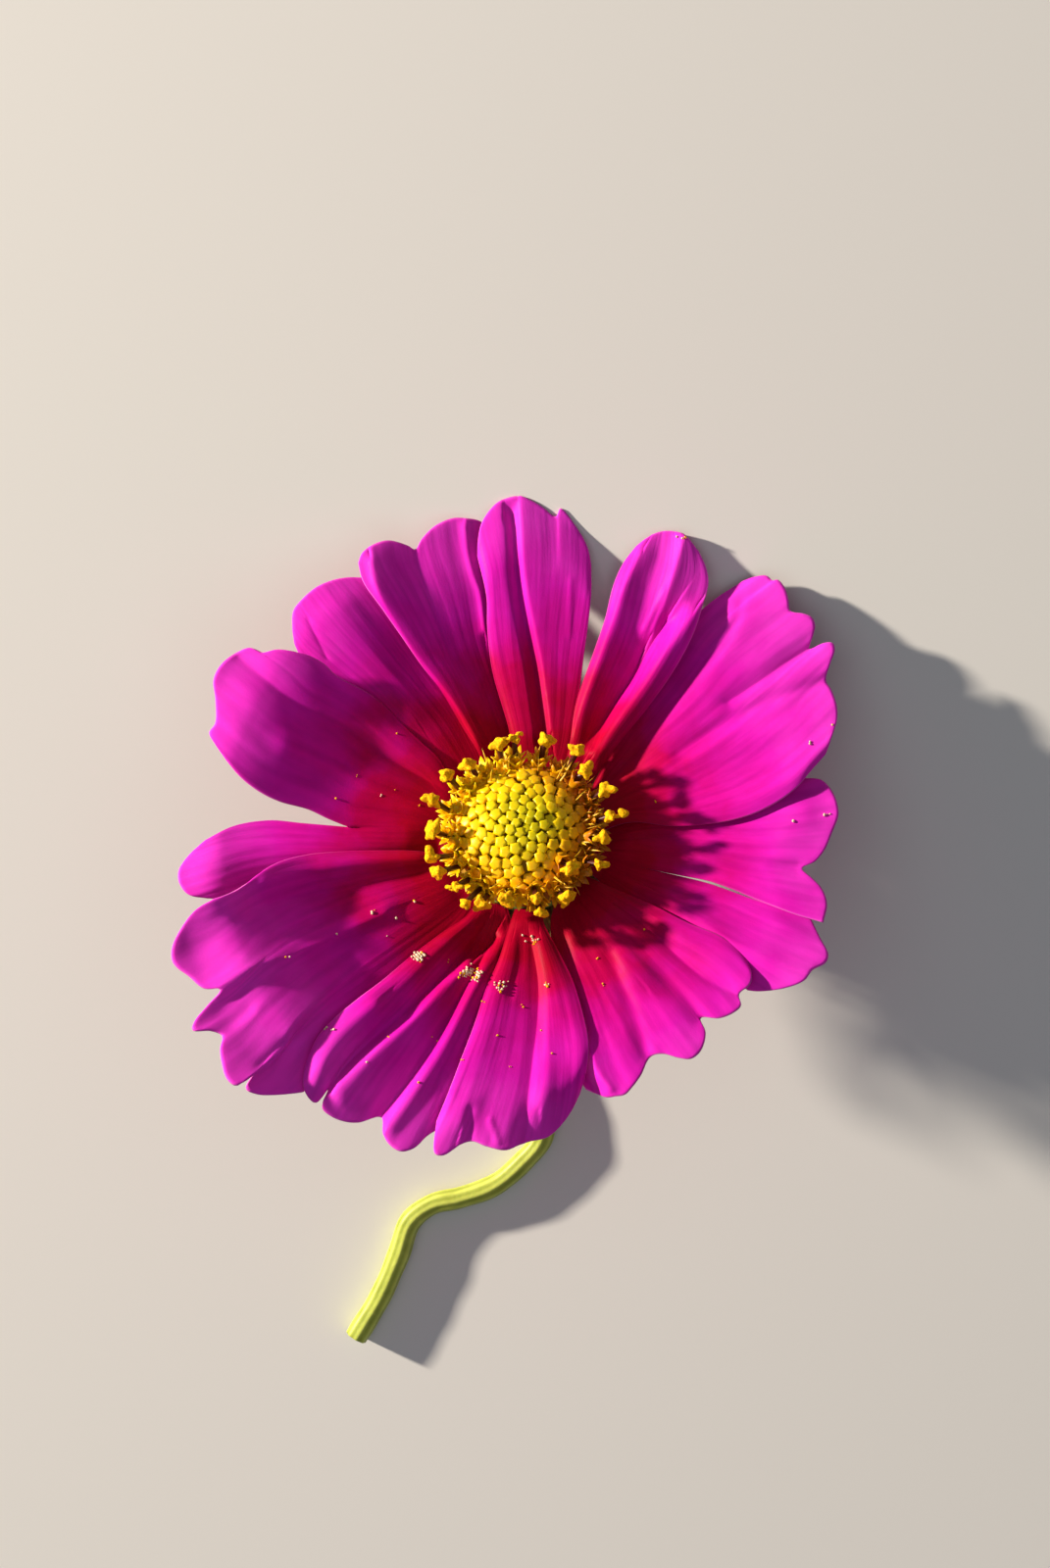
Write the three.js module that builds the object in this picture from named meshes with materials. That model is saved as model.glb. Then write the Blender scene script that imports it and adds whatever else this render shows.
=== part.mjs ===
// Cosmos flower head on a short cut stem, lying face up and tilted on a flat surface.
// Millimetres, +Z up. The flower rests on the tips of its upper petals and on its stem.
//
// The flower's own frame has its origin where its axis meets the plane of the petal bases,
// +z along the axis towards the face. Petal outlines are given as seen from sightTilt off
// the axis, and are carried along that line of sight onto the bowl-shaped petal surfaces.
import * as THREE from 'three';
import { mergeGeometries, mergeVertices } from 'three/addons/utils/BufferGeometryUtils.js';

// how the head lies
const leanAzimuth = THREE.MathUtils.degToRad(80);
const leanTilt = THREE.MathUtils.degToRad(33);
const sightTilt = THREE.MathUtils.degToRad(18);

// petals
const petalThickness = 0.4;
const petalRise = 5.0;
const petalReach = 28;
const bowlPower = 1.3;
const baseRadius = 6.5;
const marginWidth = 3.2;
const rimDroop = 1.5;
const droopStart = 30.5;
const droopEnd = 36;
const droopAzimuth = THREE.MathUtils.degToRad(180);
const droopSpread = THREE.MathUtils.degToRad(85);
const alongSteps = 8;
const acrossSteps = 10;
const tipBow = 2.2;

// disc
const discRadius = 8.0;
const discBottom = 0.9;
const discHeight = 5.5;
const seatGap = 0.3;
const pollenHeight = 5.6;
const floretSides = 7;

// involucre and stem
const receptacleBase = -7.2;
const bractCount = 8;
const bractThickness = 0.4;
const stemRadius = 1.15;
const bendHeight = 2.0;
const stemSides = 10;
const stemSteps = 48;

const petalColour = 0xd0109a;
const petalFinish = { roughness: 0.55, metalness: 0 };
const discFinish = { roughness: 0.7, metalness: 0 };
const greenFinish = { roughness: 0.6, metalness: 0 };

// Outlines in mm, x to the right and y up, from the origin. ccw and cw are the two side edges
// from the base outwards, and tip runs from the end of ccw round to the end of cw.
// margins lift (+) or tuck (-) each side edge, so that the petals pass over one another, and
// tilt is the slope across: + raises the cw side. A cup lifts the outer part of a blade: [height,
// radius where it starts, radius where it is full, share of the width that it fades in over]. A
// petal with a seam is split into two lobes beyond splitAt, and farCup is its second lobe's cup.
// A fold is [place at the base, place at the tip, height, half width]; a place is 0 at ccw, 1 at cw.
const petals = {
  petal_top: {
    ccw: [[0.3, 6.8], [-0.9, 9.2], [-1.5, 11.7], [-3.1, 17.3], [-3.7, 25.0], [-4.6, 29.0]],
    tip: [[-4.6, 29.0], [-4.1, 32.6], [-2.6, 34.5], [-0.7, 35.3], [3.4, 33.3], [6.1, 31.0], [7.0, 28.2]],
    cw: [[3.2, 6.1], [4.3, 8.6], [5.0, 11.7], [5.8, 15.0], [6.7, 21.9], [7.0, 28.2]],
    margins: [0.3, -0.1],
    folds: [[0.38, 0.22, 0.4, 1.8], [0.55, 0.32, -0.6, 1.1], [0.72, 0.58, 0.5, 2.0]],
    rise: 4.6,
  },
  petal_upper_right: {
    ccw: [[3.9, 5.8], [4.9, 10.2], [5.4, 13.7], [8.4, 22.5], [10.3, 28.3], [11.6, 30.0]],
    tip: [[11.6, 30.0], [13.2, 31.2], [14.6, 31.6], [16.7, 31.1], [18.0, 29.5]],
    cw: [[5.9, 3.9], [9.0, 8.8], [12.9, 13.7], [17.4, 21.0], [19.0, 26.1], [18.0, 29.5]],
    margins: [0.7, 0.0],
    folds: [[0.48, 0.52, -0.7, 1.6], [0.72, 0.85, 1.0, 1.6]],
    rise: 4.5,
  },
  petal_right_broad: {
    ccw: [[6.2, 3.7], [8.7, 8.1], [11.8, 13.4], [14.6, 18.2], [17.0, 22.2], [22.6, 26.5]],
    tip: [[22.6, 26.5], [25.0, 27.0], [26.8, 25.8], [27.4, 23.4], [29.6, 22.7], [29.3, 19.5],
      [31.7, 20.1], [31.0, 16.3], [32.1, 13.6], [30.9, 8.7]],
    cw: [[7.2, 0.6], [11.0, 1.8], [15.3, 1.4], [21.3, 2.0], [26.5, 4.2], [30.9, 8.7]],
    margins: [-1.6, 0.8],
    folds: [[0.3, 0.16, 0.3, 1.6], [0.5, 0.45, -0.4, 1.4]],
  },
  petal_right_split: {
    ccw: [[7.2, 0.2], [12.0, 2.6], [18.0, 3.4], [23.0, 4.4], [28.7, 6.3]],
    tip: [[28.7, 6.3], [31.5, 5.1], [32.2, 2.5], [28.4, -3.0], [30.8, -5.8], [30.6, -8.4]],
    seam: [[7.0, -1.4], [12.0, -2.8]],
    nearWall: [[12.0, -2.8], [16.0, -3.6], [19.0, -4.2], [23.6, -6.0], [27.8, -7.6], [30.6, -8.4]],
    farWall: [[12.0, -2.8], [16.0, -4.0], [19.0, -5.0], [23.3, -6.3], [26.6, -7.3], [29.3, -8.4]],
    farTip: [[29.3, -8.4], [30.8, -11.0], [30.6, -12.8], [28.6, -14.4], [22.9, -15.3]],
    cw: [[6.6, -3.1], [10.5, -6.6], [14.5, -9.3], [18.5, -12.0], [22.9, -15.3]],
    margins: [-0.8, -0.9],
    folds: [[0.3, 0.33, -0.4, 1.6]],
    splitAt: 0.27,
    seamAt: 0.6,
    wallLift: [0.35, -0.35],
  },
  petal_lower_right: {
    ccw: [[6.3, -3.6], [10.1, -5.3], [17.0, -8.5], [20.0, -9.7], [22.8, -12.3]],
    tip: [[22.8, -12.3], [22.2, -15.6], [22.1, -16.9], [18.0, -18.2], [18.4, -20.4],
      [16.6, -22.2], [13.2, -22.0], [11.1, -25.1], [8.5, -26.1], [6.4, -25.3]],
    cw: [[3.5, -6.2], [3.1, -9.0], [3.9, -14.2], [5.0, -20.5], [6.4, -25.3]],
    margins: [0.8, -0.6],
    folds: [[0.4, 0.3, -0.5, 1.5], [0.7, 0.6, -0.5, 1.5]],
  },
  petal_bottom: {
    ccw: [[1.9, -6.9], [2.2, -8.5], [5.1, -14.2], [6.7, -20.5], [5.8, -25.8]],
    tip: [[5.8, -25.8], [2.6, -30.1], [-1.7, -31.4], [-5.1, -30.5], [-8.5, -31.7], [-8.7, -28.5]],
    cw: [[-0.8, -7.1], [-1.4, -8.9], [-3.7, -15.1], [-6.2, -22.1], [-8.7, -28.5]],
    margins: [0.7, 0.4],
    folds: [[0.4, 0.4, -0.6, 1.2], [0.7, 0.8, 0.3, 1.6]],
  },
  petal_bottom_left: {
    ccw: [[-1.5, -7.0], [-1.0, -9.0], [-1.2, -12.0], [-3.4, -19.0], [-8.0, -29.0]],
    tip: [[-8.0, -29.0], [-11.0, -31.2], [-13.4, -30.9], [-14.4, -28.1], [-18.0, -28.5],
      [-19.9, -26.4], [-22.0, -25.2], [-21.7, -22.0]],
    cw: [[-4.2, -5.7], [-5.8, -7.8], [-11.2, -11.7], [-16.7, -16.1], [-21.7, -22.0]],
    margins: [-0.9, 0.8],
    folds: [[0.32, 0.3, -0.9, 1.6], [0.5, 0.52, 0.6, 1.2], [0.66, 0.7, -0.7, 1.4], [0.88, 0.9, 0.7, 1.6]],
  },
  petal_lower_left: {
    ccw: [[-4.7, -5.3], [-7.2, -9.9], [-13.6, -15.8], [-19.4, -21.6], [-22.2, -25.5]],
    tip: [[-22.2, -25.5], [-26.9, -25.7], [-30.2, -23.6], [-30.5, -19.8], [-33.4, -19.0],
      [-30.6, -14.9], [-33.9, -13.7], [-35.5, -10.8], [-31.4, -6.0]],
    cw: [[-6.9, -2.2], [-9.5, -1.3], [-15.0, -1.1], [-24.1, -2.0], [-31.4, -6.0]],
    margins: [-0.9, 0.8],
    folds: [[0.55, 0.55, 0.6, 1.4], [0.82, 0.86, -0.5, 1.4]],
    cup: [3.1, 20.8, 33, 0.3],
  },
  petal_left_split: {
    ccw: [[-7.1, -1.5], [-11.0, -3.2], [-19.0, -3.3], [-26.0, -4.4], [-31.4, -6.0]],
    tip: [[-31.4, -6.0], [-34.1, -5.5], [-35.0, -3.6], [-34.1, -1.7], [-32.3, 0.0]],
    seam: [[-7.2, 1.0], [-12.0, 1.2], [-17.7, 1.3]],
    nearWall: [[-17.7, 1.3], [-25.9, 2.0], [-29.5, 1.4], [-32.3, 0.0]],
    farWall: [[-17.7, 1.3], [-21.8, 3.1], [-26.6, 4.8], [-30.0, 7.9], [-31.2, 9.6]],
    farTip: [[-31.2, 9.6], [-31.9, 10.9], [-31.3, 14.4], [-30.8, 17.8], [-27.8, 19.6], [-23.4, 19.2]],
    cw: [[-6.5, 3.1], [-8.4, 8.1], [-12.3, 11.9], [-18.9, 16.7], [-23.4, 19.2]],
    margins: [-0.9, 0.2],
    folds: [[0.8, 0.85, -0.5, 1.4], [0.25, 0.25, 0.3, 2.0]],
    splitAt: 0.42,
    seamAt: 0.5,
    wallLift: [0, -0.6],
    cup: [-2.0, 14, 30, 0],
    farCup: [2.1, 17.5, 30, 0],
  },
  petal_upper_left: {
    ccw: [[-6.2, 3.7], [-9.2, 6.6], [-16.6, 13.3], [-22.4, 18.2], [-23.3, 20.0]],
    tip: [[-23.3, 20.0], [-23.4, 23.4], [-21.1, 25.8], [-18.0, 26.8], [-16.0, 26.8]],
    cw: [[-4.3, 5.6], [-5.6, 8.6], [-8.8, 16.6], [-12.8, 23.0], [-16.0, 26.8]],
    margins: [-0.7, -1.0],
    folds: [[0.5, 0.5, 0.3, 2.2]],
    tilt: 0.03,
    cup: [1.0, 18, 28, 0],
  },
  petal_top_left: {
    ccw: [[-3.9, 5.9], [-4.4, 8.6], [-8.4, 15.4], [-12.3, 20.7], [-16.8, 28.3]],
    tip: [[-16.8, 28.3], [-15.4, 30.1], [-13.8, 30.6], [-11.0, 29.8], [-9.0, 32.1], [-6.2, 32.9],
      [-4.1, 32.5], [-3.0, 31.0]],
    cw: [[-1.0, 6.9], [-0.3, 9.4], [-1.8, 17.3], [-2.3, 25.0], [-3.0, 31.0]],
    margins: [0.5, -0.6],
    folds: [[0.25, 0.15, 0.5, 1.8], [0.45, 0.5, -0.3, 1.2], [0.8, 0.8, 0.4, 1.0]],
    rise: 4.6,
    tilt: -0.13,
  },
};

// Where the pollen heads of the open florets show, clockwise from the top. The three that stand
// further in on the dome give their own height.
const pollenHeads = [
  [-2.4, 9.8], [-0.8, 10.3], [2.3, 10.1], [5.6, 9.1], [6.4, 7.1], [8.4, 5.1], [8.9, 2.4], [8.2, 0.3],
  [7.8, -2.5], [5.1, -2.9, 6.8], [4.4, -5.9], [1.9, -7.4], [1.5, -5.9, 6.4], [-1.7, -6.0, 6.4], [-4.3, -6.5],
  [-5.8, -6.4], [-6.8, -4.7], [-8.5, -3.2], [-9.4, -1.8], [-9.2, 0.9], [-9.2, 4.1], [-7.7, 6.7],
  [-5.5, 7.8],
];

// The stem's path on the surface, from under the head to the cut end, about the head's axis foot.
// A third number is how far the stem still is above the surface there.
const stemOnSurface = [
  [-2.5, -14.5, 0.35], [-2.2, -20.0], [-0.5, -26.0], [1.1, -31.0], [1.2, -35.3], [-0.9, -38.1], [-3.7, -40.5],
  [-7.3, -41.9], [-10.1, -42.6], [-12.4, -44.4], [-13.7, -48.0], [-15.6, -52.5], [-18.2, -57.0],
];

const leanAxis = new THREE.Vector3(-Math.sin(leanAzimuth), Math.cos(leanAzimuth), 0);
const sightTurn = new THREE.Quaternion().setFromAxisAngle(leanAxis, -sightTilt);
const sightRight = new THREE.Vector3(1, 0, 0).applyQuaternion(sightTurn);
const sightUp = new THREE.Vector3(0, 1, 0).applyQuaternion(sightTurn);
const sightLine = new THREE.Vector3(0, 0, 1).applyQuaternion(sightTurn);

// The point at the given height above the petal plane that is seen at (x, y).
function seenAt(x, y, height) {
  const depth = (height - x * sightRight.z - y * sightUp.z) / sightLine.z;
  return sightRight.clone().multiplyScalar(x)
    .addScaledVector(sightUp, y)
    .addScaledVector(sightLine, depth);
}

function curveThrough(points) {
  return new THREE.CatmullRomCurve3(
    points.map(([x, y, z = 0]) => new THREE.Vector3(x, y, z)), false, 'centripetal');
}

// A side edge as a function of the share of its length. A wall of a split follows the seam first.
function edgeOf(points, seam, splitAt) {
  const curve = curveThrough(points);
  if (!seam) return (share) => curve.getPointAt(share);
  const seamCurve = curveThrough(seam);
  return (share) => (share <= splitAt
    ? seamCurve.getPointAt(share / splitAt)
    : curve.getPointAt((share - splitAt) / (1 - splitAt)));
}

function gaussian(distance, width) {
  return Math.exp(-((distance / width) ** 2));
}

// How far the rims of the left petals turn down: most at droopAzimuth, none droopSpread away from it.
function droopAt(point, radius) {
  const azimuth = THREE.MathUtils.euclideanModulo(Math.atan2(point.y, point.x), 2 * Math.PI);
  const off = THREE.MathUtils.clamp((azimuth - droopAzimuth) / droopSpread, -1, 1);
  const leftness = Math.cos((off * Math.PI) / 2) ** 2;
  return leftness * rimDroop * THREE.MathUtils.smoothstep(radius, droopStart, droopEnd);
}

// Height above the petal plane at a seen point: the bowl with its rim and the blade's cup, then the
// tilt, the lifted margins and the folds.
function petalHeight(spec, cup, point, along, across, fullWidth) {
  const radius = Math.hypot(point.x, point.y / Math.cos(sightTilt));
  const rise = spec.rise ?? petalRise;
  const outward = Math.max(0, radius - baseRadius) / petalReach;
  const clear = THREE.MathUtils.smoothstep(radius, baseRadius + 0.1, baseRadius + 2.7);
  const [ccwLift, cwLift] = spec.margins;
  let height = rise * outward ** bowlPower - droopAt(point, radius);
  if (cup) {
    const [lift, start, end, fadeIn] = cup;
    const inward = fadeIn ? THREE.MathUtils.smoothstep(across, 0, fadeIn) : 1;
    height += lift * inward * THREE.MathUtils.smoothstep(radius, start, end);
  }
  height += clear * (spec.tilt ?? 0) * (across - 0.5) * fullWidth;
  height += clear * ccwLift * gaussian(across * fullWidth, marginWidth);
  height += clear * cwLift * gaussian((1 - across) * fullWidth, marginWidth);
  for (const [fromBase, toTip, lift, width] of spec.folds) {
    const place = THREE.MathUtils.lerp(fromBase, toTip, along);
    const foldRamp = THREE.MathUtils.smoothstep(along, 0, 0.35);
    height += foldRamp * lift * gaussian((across - place) * fullWidth, width);
  }
  return height;
}

// One blade between two side edges and a tip, as an open sheet.
// across runs from start at the first edge to end at the second, as a share of the whole petal.
function bladeSheet(spec, cup, first, second, tipPoints, start, end, lobeLift) {
  const tip = curveThrough(tipPoints);
  const tipStart = tip.getPointAt(0);
  const tipEnd = tip.getPointAt(1);
  const ccwEdge = edgeOf(spec.ccw);
  const cwEdge = edgeOf(spec.cw);
  const sheet = new THREE.PlaneGeometry(1, 1, acrossSteps, alongSteps);
  const position = sheet.getAttribute('position');
  for (let i = 0; i < position.count; i += 1) {
    const share = position.getX(i) + 0.5;
    const along = position.getY(i) + 0.5;
    const point = first(along).lerp(second(along), share);
    const bulge = tip.getPointAt(share).sub(tipStart.clone().lerp(tipEnd, share));
    point.addScaledVector(bulge, along ** tipBow);
    const across = THREE.MathUtils.lerp(start, end, share);
    const fullWidth = ccwEdge(along).distanceTo(cwEdge(along));
    let height = petalHeight(spec, cup, point, along, across, fullWidth);
    if (lobeLift) {
      const beyond = THREE.MathUtils.smoothstep(along, spec.splitAt, spec.splitAt + 0.35);
      height += lobeLift * beyond * gaussian(across - spec.seamAt, 0.16);
    }
    position.setXYZ(i, ...seenAt(point.x, point.y, height).toArray());
  }
  return sheet;
}

// Gives an open sheet that faces +z a thickness: two skins and a wall along every free edge.
function thicken(sheets, thickness) {
  for (const sheet of sheets) {
    sheet.deleteAttribute('normal');
    sheet.deleteAttribute('uv');
  }
  const sheet = mergeVertices(mergeGeometries(sheets), 1e-3);
  const position = sheet.getAttribute('position');
  const index = Array.from(sheet.getIndex().array);
  const count = position.count;
  const points = new Float32Array(count * 6);
  for (let i = 0; i < count; i += 1) {
    const [x, y, z] = [position.getX(i), position.getY(i), position.getZ(i)];
    points.set([x, y, z + thickness / 2], i * 3);
    points.set([x, y, z - thickness / 2], (count + i) * 3);
  }
  const faces = [];
  const edges = new Set();
  for (let t = 0; t < index.length; t += 3) {
    const [a, b, c] = index.slice(t, t + 3);
    if (a === b || b === c || c === a) continue;
    faces.push(a, b, c, c + count, b + count, a + count);
    for (const [p, q] of [[a, b], [b, c], [c, a]]) edges.add(`${p} ${q}`);
  }
  for (const edge of edges) {
    const [p, q] = edge.split(' ').map(Number);
    if (!edges.has(`${q} ${p}`)) faces.push(q, p, p + count, q, p + count, q + count);
  }
  const solid = new THREE.BufferGeometry();
  solid.setAttribute('position', new THREE.BufferAttribute(points, 3));
  solid.setIndex(faces);
  return solid;
}

function namedMesh(name, geometry, colour, finish) {
  const mesh = new THREE.Mesh(geometry, new THREE.MeshStandardMaterial({ color: colour, ...finish }));
  mesh.name = name;
  return mesh;
}

function makePetal(name, spec) {
  if (!spec.seam) {
    const sheet = bladeSheet(spec, spec.cup, edgeOf(spec.ccw), edgeOf(spec.cw), spec.tip, 0, 1, 0);
    return namedMesh(name, thicken([sheet], petalThickness), petalColour, petalFinish);
  }
  const near = bladeSheet(spec, spec.cup, edgeOf(spec.ccw), edgeOf(spec.nearWall, spec.seam, spec.splitAt),
    spec.tip, 0, spec.seamAt, spec.wallLift[0]);
  const far = bladeSheet(spec, spec.farCup, edgeOf(spec.farWall, spec.seam, spec.splitAt), edgeOf(spec.cw),
    spec.farTip, spec.seamAt, 1, spec.wallLift[1]);
  return namedMesh(name, thicken([near, far], petalThickness), petalColour, petalFinish);
}

// Body of revolution about +z from [radius, height] pairs that start and end on the axis.
function turned(profile, sides) {
  const lathe = new THREE.LatheGeometry(profile.map(([r, z]) => new THREE.Vector2(r, z)), sides);
  lathe.rotateX(Math.PI / 2);
  return lathe;
}

function discProfile(radius) {
  return discBottom + discHeight * Math.sqrt(1 - (radius / discRadius) ** 2);
}

// The packed closed florets, as one dome.
function makeClosedFlorets() {
  const profile = [[0, discBottom], [discRadius, discBottom]];
  const rings = 7;
  for (let ring = 1; ring < rings; ring += 1) {
    const angle = (ring / rings) * Math.PI / 2;
    profile.push([discRadius * Math.cos(angle), discBottom + discHeight * Math.sin(angle)]);
  }
  profile.push([0, discBottom + discHeight]);
  return namedMesh('closed_florets', turned(profile, 28), 0xd9c412, discFinish);
}

// The receptacle: a shallow cup under the petals, with the seat for the disc on its top.
function makeReceptacle() {
  const profile = [
    [0, receptacleBase], [1.3, receptacleBase], [1.7, -6.2], [2.6, -5.0], [4.4, -3.6], [6.2, -2.3],
    [7.3, -1.2], [7.3, -0.6], [5.0, -0.6], [5.0, discBottom - seatGap], [0, discBottom - seatGap],
  ];
  return namedMesh('receptacle', turned(profile, 24), 0x8fa63c, greenFinish);
}

// One open floret: corolla, anther tube and pollen head, standing on the dome and leaning outwards.
function makeOpenFloret(name, [x, y, height = pollenHeight]) {
  const head = seenAt(x, y, height);
  const headRadius = Math.hypot(head.x, head.y);
  const footRadius = Math.min(7.35, headRadius - 1.9);
  const foot = new THREE.Vector3(head.x, head.y, 0).setLength(footRadius).setZ(discProfile(footRadius));
  const normal = new THREE.Vector3(foot.x / discRadius ** 2, foot.y / discRadius ** 2,
    (foot.z - discBottom) / discHeight ** 2).normalize();
  foot.addScaledVector(normal, 0.45);
  const stalk = head.clone().sub(foot);
  const length = stalk.length();
  const profile = [
    [0, 0], [0.3, 0], [0.5, 0.35 * length], [0.3, 0.55 * length], [0.3, 0.75 * length],
    [0.6, 0.9 * length], [0.55, length + 0.25], [0, length + 0.45],
  ];
  const floret = namedMesh(name, turned(profile, floretSides), 0xe8b800, discFinish);
  floret.position.copy(foot);
  floret.quaternion.setFromUnitVectors(new THREE.Vector3(0, 0, 1), stalk.normalize());
  return floret;
}

// One bract: a leaf along a spine of [radius, height] pairs, with its half width as a function
// of the share of its length.
function makeBract(name, angle, spine, halfWidth, colour) {
  const curve = curveThrough(spine.map(([r, z]) => [r, 0, z]));
  const sheet = new THREE.PlaneGeometry(1, 1, 2, 6);
  const position = sheet.getAttribute('position');
  for (let i = 0; i < position.count; i += 1) {
    const along = 0.5 - position.getY(i);
    const side = position.getX(i) * 2;
    const point = curve.getPointAt(along);
    position.setXYZ(i, point.x, side * halfWidth(along), point.z + 0.25 * side * side);
  }
  const bract = namedMesh(name, thicken([sheet], bractThickness), colour, greenFinish);
  bract.rotation.z = angle;
  return bract;
}

function innerHalfWidth(along) {
  return 0.75 + 1.75 * Math.sin(Math.PI * Math.min(1, along * 0.95)) ** 0.8 - 0.55 * along ** 4;
}

function outerHalfWidth(along) {
  return 0.3 + 0.85 * (1 - along) * (0.55 + 1.4 * along);
}

const head = new THREE.Group();
for (const [name, spec] of Object.entries(petals)) head.add(makePetal(name, spec));
head.add(makeReceptacle(), makeClosedFlorets());
pollenHeads.forEach((place, i) => {
  head.add(makeOpenFloret(`open_floret_${String(i + 1).padStart(2, '0')}`, place));
});
const innerSpine = [[3.0, -5.6], [5.0, -4.1], [7.4, -2.5], [10.0, -2.0], [12.4, -1.3]];
const outerSpine = [[2.5, -6.6], [4.6, -5.7], [7.6, -4.5], [11.0, -3.9], [14.4, -3.7]];
for (let i = 0; i < bractCount; i += 1) {
  const step = (2 * Math.PI) / bractCount;
  head.add(makeBract(`inner_bract_${i + 1}`, (i + 0.5) * step, innerSpine, innerHalfWidth, 0x9a7a3a));
  head.add(makeBract(`outer_bract_${i + 1}`, i * step, outerSpine, outerHalfWidth, 0x6f9a3c));
}
head.quaternion.setFromAxisAngle(leanAxis, leanTilt);

// The head is lowered until its lowest petal tips touch the surface.
head.updateMatrixWorld(true);
head.position.z = -new THREE.Box3().setFromObject(head, true).min.z;
head.updateMatrixWorld(true);

// The stem leaves the receptacle along the axis and bends down to lie on the surface.
function makeStem() {
  const leave = head.localToWorld(new THREE.Vector3(0, 0, receptacleBase - seatGap));
  const straight = head.localToWorld(new THREE.Vector3(0, 0, receptacleBase - 2.6));
  const [landX, landY] = stemOnSurface[0];
  const bend = straight.clone().lerp(new THREE.Vector3(landX, landY, 0), 0.42);
  bend.z = stemRadius + bendHeight;
  const lying = stemOnSurface.map(([x, y, above = 0]) => new THREE.Vector3(x, y, stemRadius + above));
  const path = new THREE.CatmullRomCurve3([leave, straight, bend, ...lying], false, 'centripetal');
  const section = new THREE.Shape();
  section.absarc(0, 0, stemRadius, 0, 2 * Math.PI, false);
  const stem = new THREE.ExtrudeGeometry(section, {
    steps: stemSteps, curveSegments: stemSides / 2, extrudePath: path, bevelEnabled: false,
  });
  return namedMesh('stem', stem, 0x9aac3c, greenFinish);
}

const flower = new THREE.Group();
flower.add(head, makeStem());

// The origin is under the middle of the whole flower, on the surface.
flower.updateMatrixWorld(true);
const box = new THREE.Box3().setFromObject(flower, true);
flower.position.set(-(box.min.x + box.max.x) / 2, -(box.min.y + box.max.y) / 2, -box.min.z);

export default flower;
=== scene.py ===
# Cosmos flower head on a cut stem, lying on a pale surface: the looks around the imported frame.
# Lengths are in millimetres until a mesh is made, and the head is worked out in its own frame:
# origin where its axis meets the plane of the petal bases, +z along the axis towards the face.
import bpy
import numpy as np
from mathutils import Matrix


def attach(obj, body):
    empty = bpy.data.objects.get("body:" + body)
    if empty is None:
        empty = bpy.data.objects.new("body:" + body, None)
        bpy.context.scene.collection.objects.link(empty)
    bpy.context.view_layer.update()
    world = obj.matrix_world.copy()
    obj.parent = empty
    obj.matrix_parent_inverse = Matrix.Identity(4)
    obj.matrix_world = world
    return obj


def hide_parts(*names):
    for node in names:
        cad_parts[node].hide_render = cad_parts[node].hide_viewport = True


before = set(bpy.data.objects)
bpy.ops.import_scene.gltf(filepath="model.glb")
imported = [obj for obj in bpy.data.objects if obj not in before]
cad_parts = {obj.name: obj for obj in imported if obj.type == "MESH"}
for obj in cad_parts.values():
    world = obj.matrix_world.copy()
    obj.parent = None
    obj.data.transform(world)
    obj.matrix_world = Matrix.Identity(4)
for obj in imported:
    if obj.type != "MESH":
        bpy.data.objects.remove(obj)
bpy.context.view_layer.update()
chance = np.random.default_rng(23)


def smoothStep(start, end, x):  # 0 before start, 1 after end, an s-curve between
    t = np.clip((x - start) / (end - start), 0, 1)
    return t * t * (3 - 2 * t)


def turnAbout(axis, degrees):  # 1 + sin x K + (1 - cos) x K K, where K is the cross product with the axis
    angle = np.radians(degrees)
    k = np.array([[0, -axis[2], axis[1]], [axis[2], 0, -axis[0]], [-axis[1], axis[0], 0]])
    return np.eye(3) + np.sin(angle) * k + (1 - np.cos(angle)) * k @ k


def unit(vectors):
    return vectors / np.maximum(np.linalg.norm(vectors, axis=-1, keepdims=True), 1e-12)


# A smooth line through points, read off at shares of its length. Each span blends the straight lines
# through its four nearest points three times over, with the points' knots apart by the root of their
# distance; it is sampled finely, then spaced evenly along the summed length.
def alongLine(points, shares, fine=40):
    p = np.asarray(points, float)
    p = np.vstack([2 * p[0] - p[1], p, 2 * p[-1] - p[-2]])
    knots = np.concatenate([[0], np.cumsum(np.linalg.norm(np.diff(p, axis=0), axis=1) ** 0.5)])
    span, step = np.meshgrid(np.arange(1, len(p) - 2), np.arange(fine) / fine, indexing="ij")
    span, step = span.ravel(), step.ravel()
    t = knots[span] + step * (knots[span + 1] - knots[span])

    def between(a, b, i, j):
        share = ((t - knots[i]) / (knots[j] - knots[i]))[:, None]
        return (1 - share) * a + share * b

    a1 = between(p[span - 1], p[span], span - 1, span)
    a2 = between(p[span], p[span + 1], span, span + 1)
    a3 = between(p[span + 1], p[span + 2], span + 1, span + 2)
    b1 = between(a1, a2, span - 1, span + 1)
    b2 = between(a2, a3, span, span + 2)
    line = np.vstack([between(b1, b2, span, span + 1), p[-2:-1]])
    length = np.concatenate([[0], np.cumsum(np.linalg.norm(np.diff(line, axis=0), axis=1))])
    at = np.asarray(shares) * length[-1]
    return np.stack([np.interp(at, length, line[:, i]) for i in range(p.shape[1])], -1)


# Signed distance of points in a plane to a bent line, positive on its left: the nearest of its
# straight spans gives the distance, and the cross product with that span the sign.
def offLine(points, line):
    start, span = line[:-1], np.diff(line, axis=0)
    away = points[..., None, :] - start
    share = np.clip((away * span).sum(-1) / (span * span).sum(-1), 0, 1)
    gap = np.linalg.norm(away - share[..., None] * span, axis=-1)
    side = np.sign(span[:, 0] * away[..., 1] - span[:, 1] * away[..., 0])
    return np.take_along_axis(gap * side, gap.argmin(-1)[..., None], -1)[..., 0]


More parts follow.
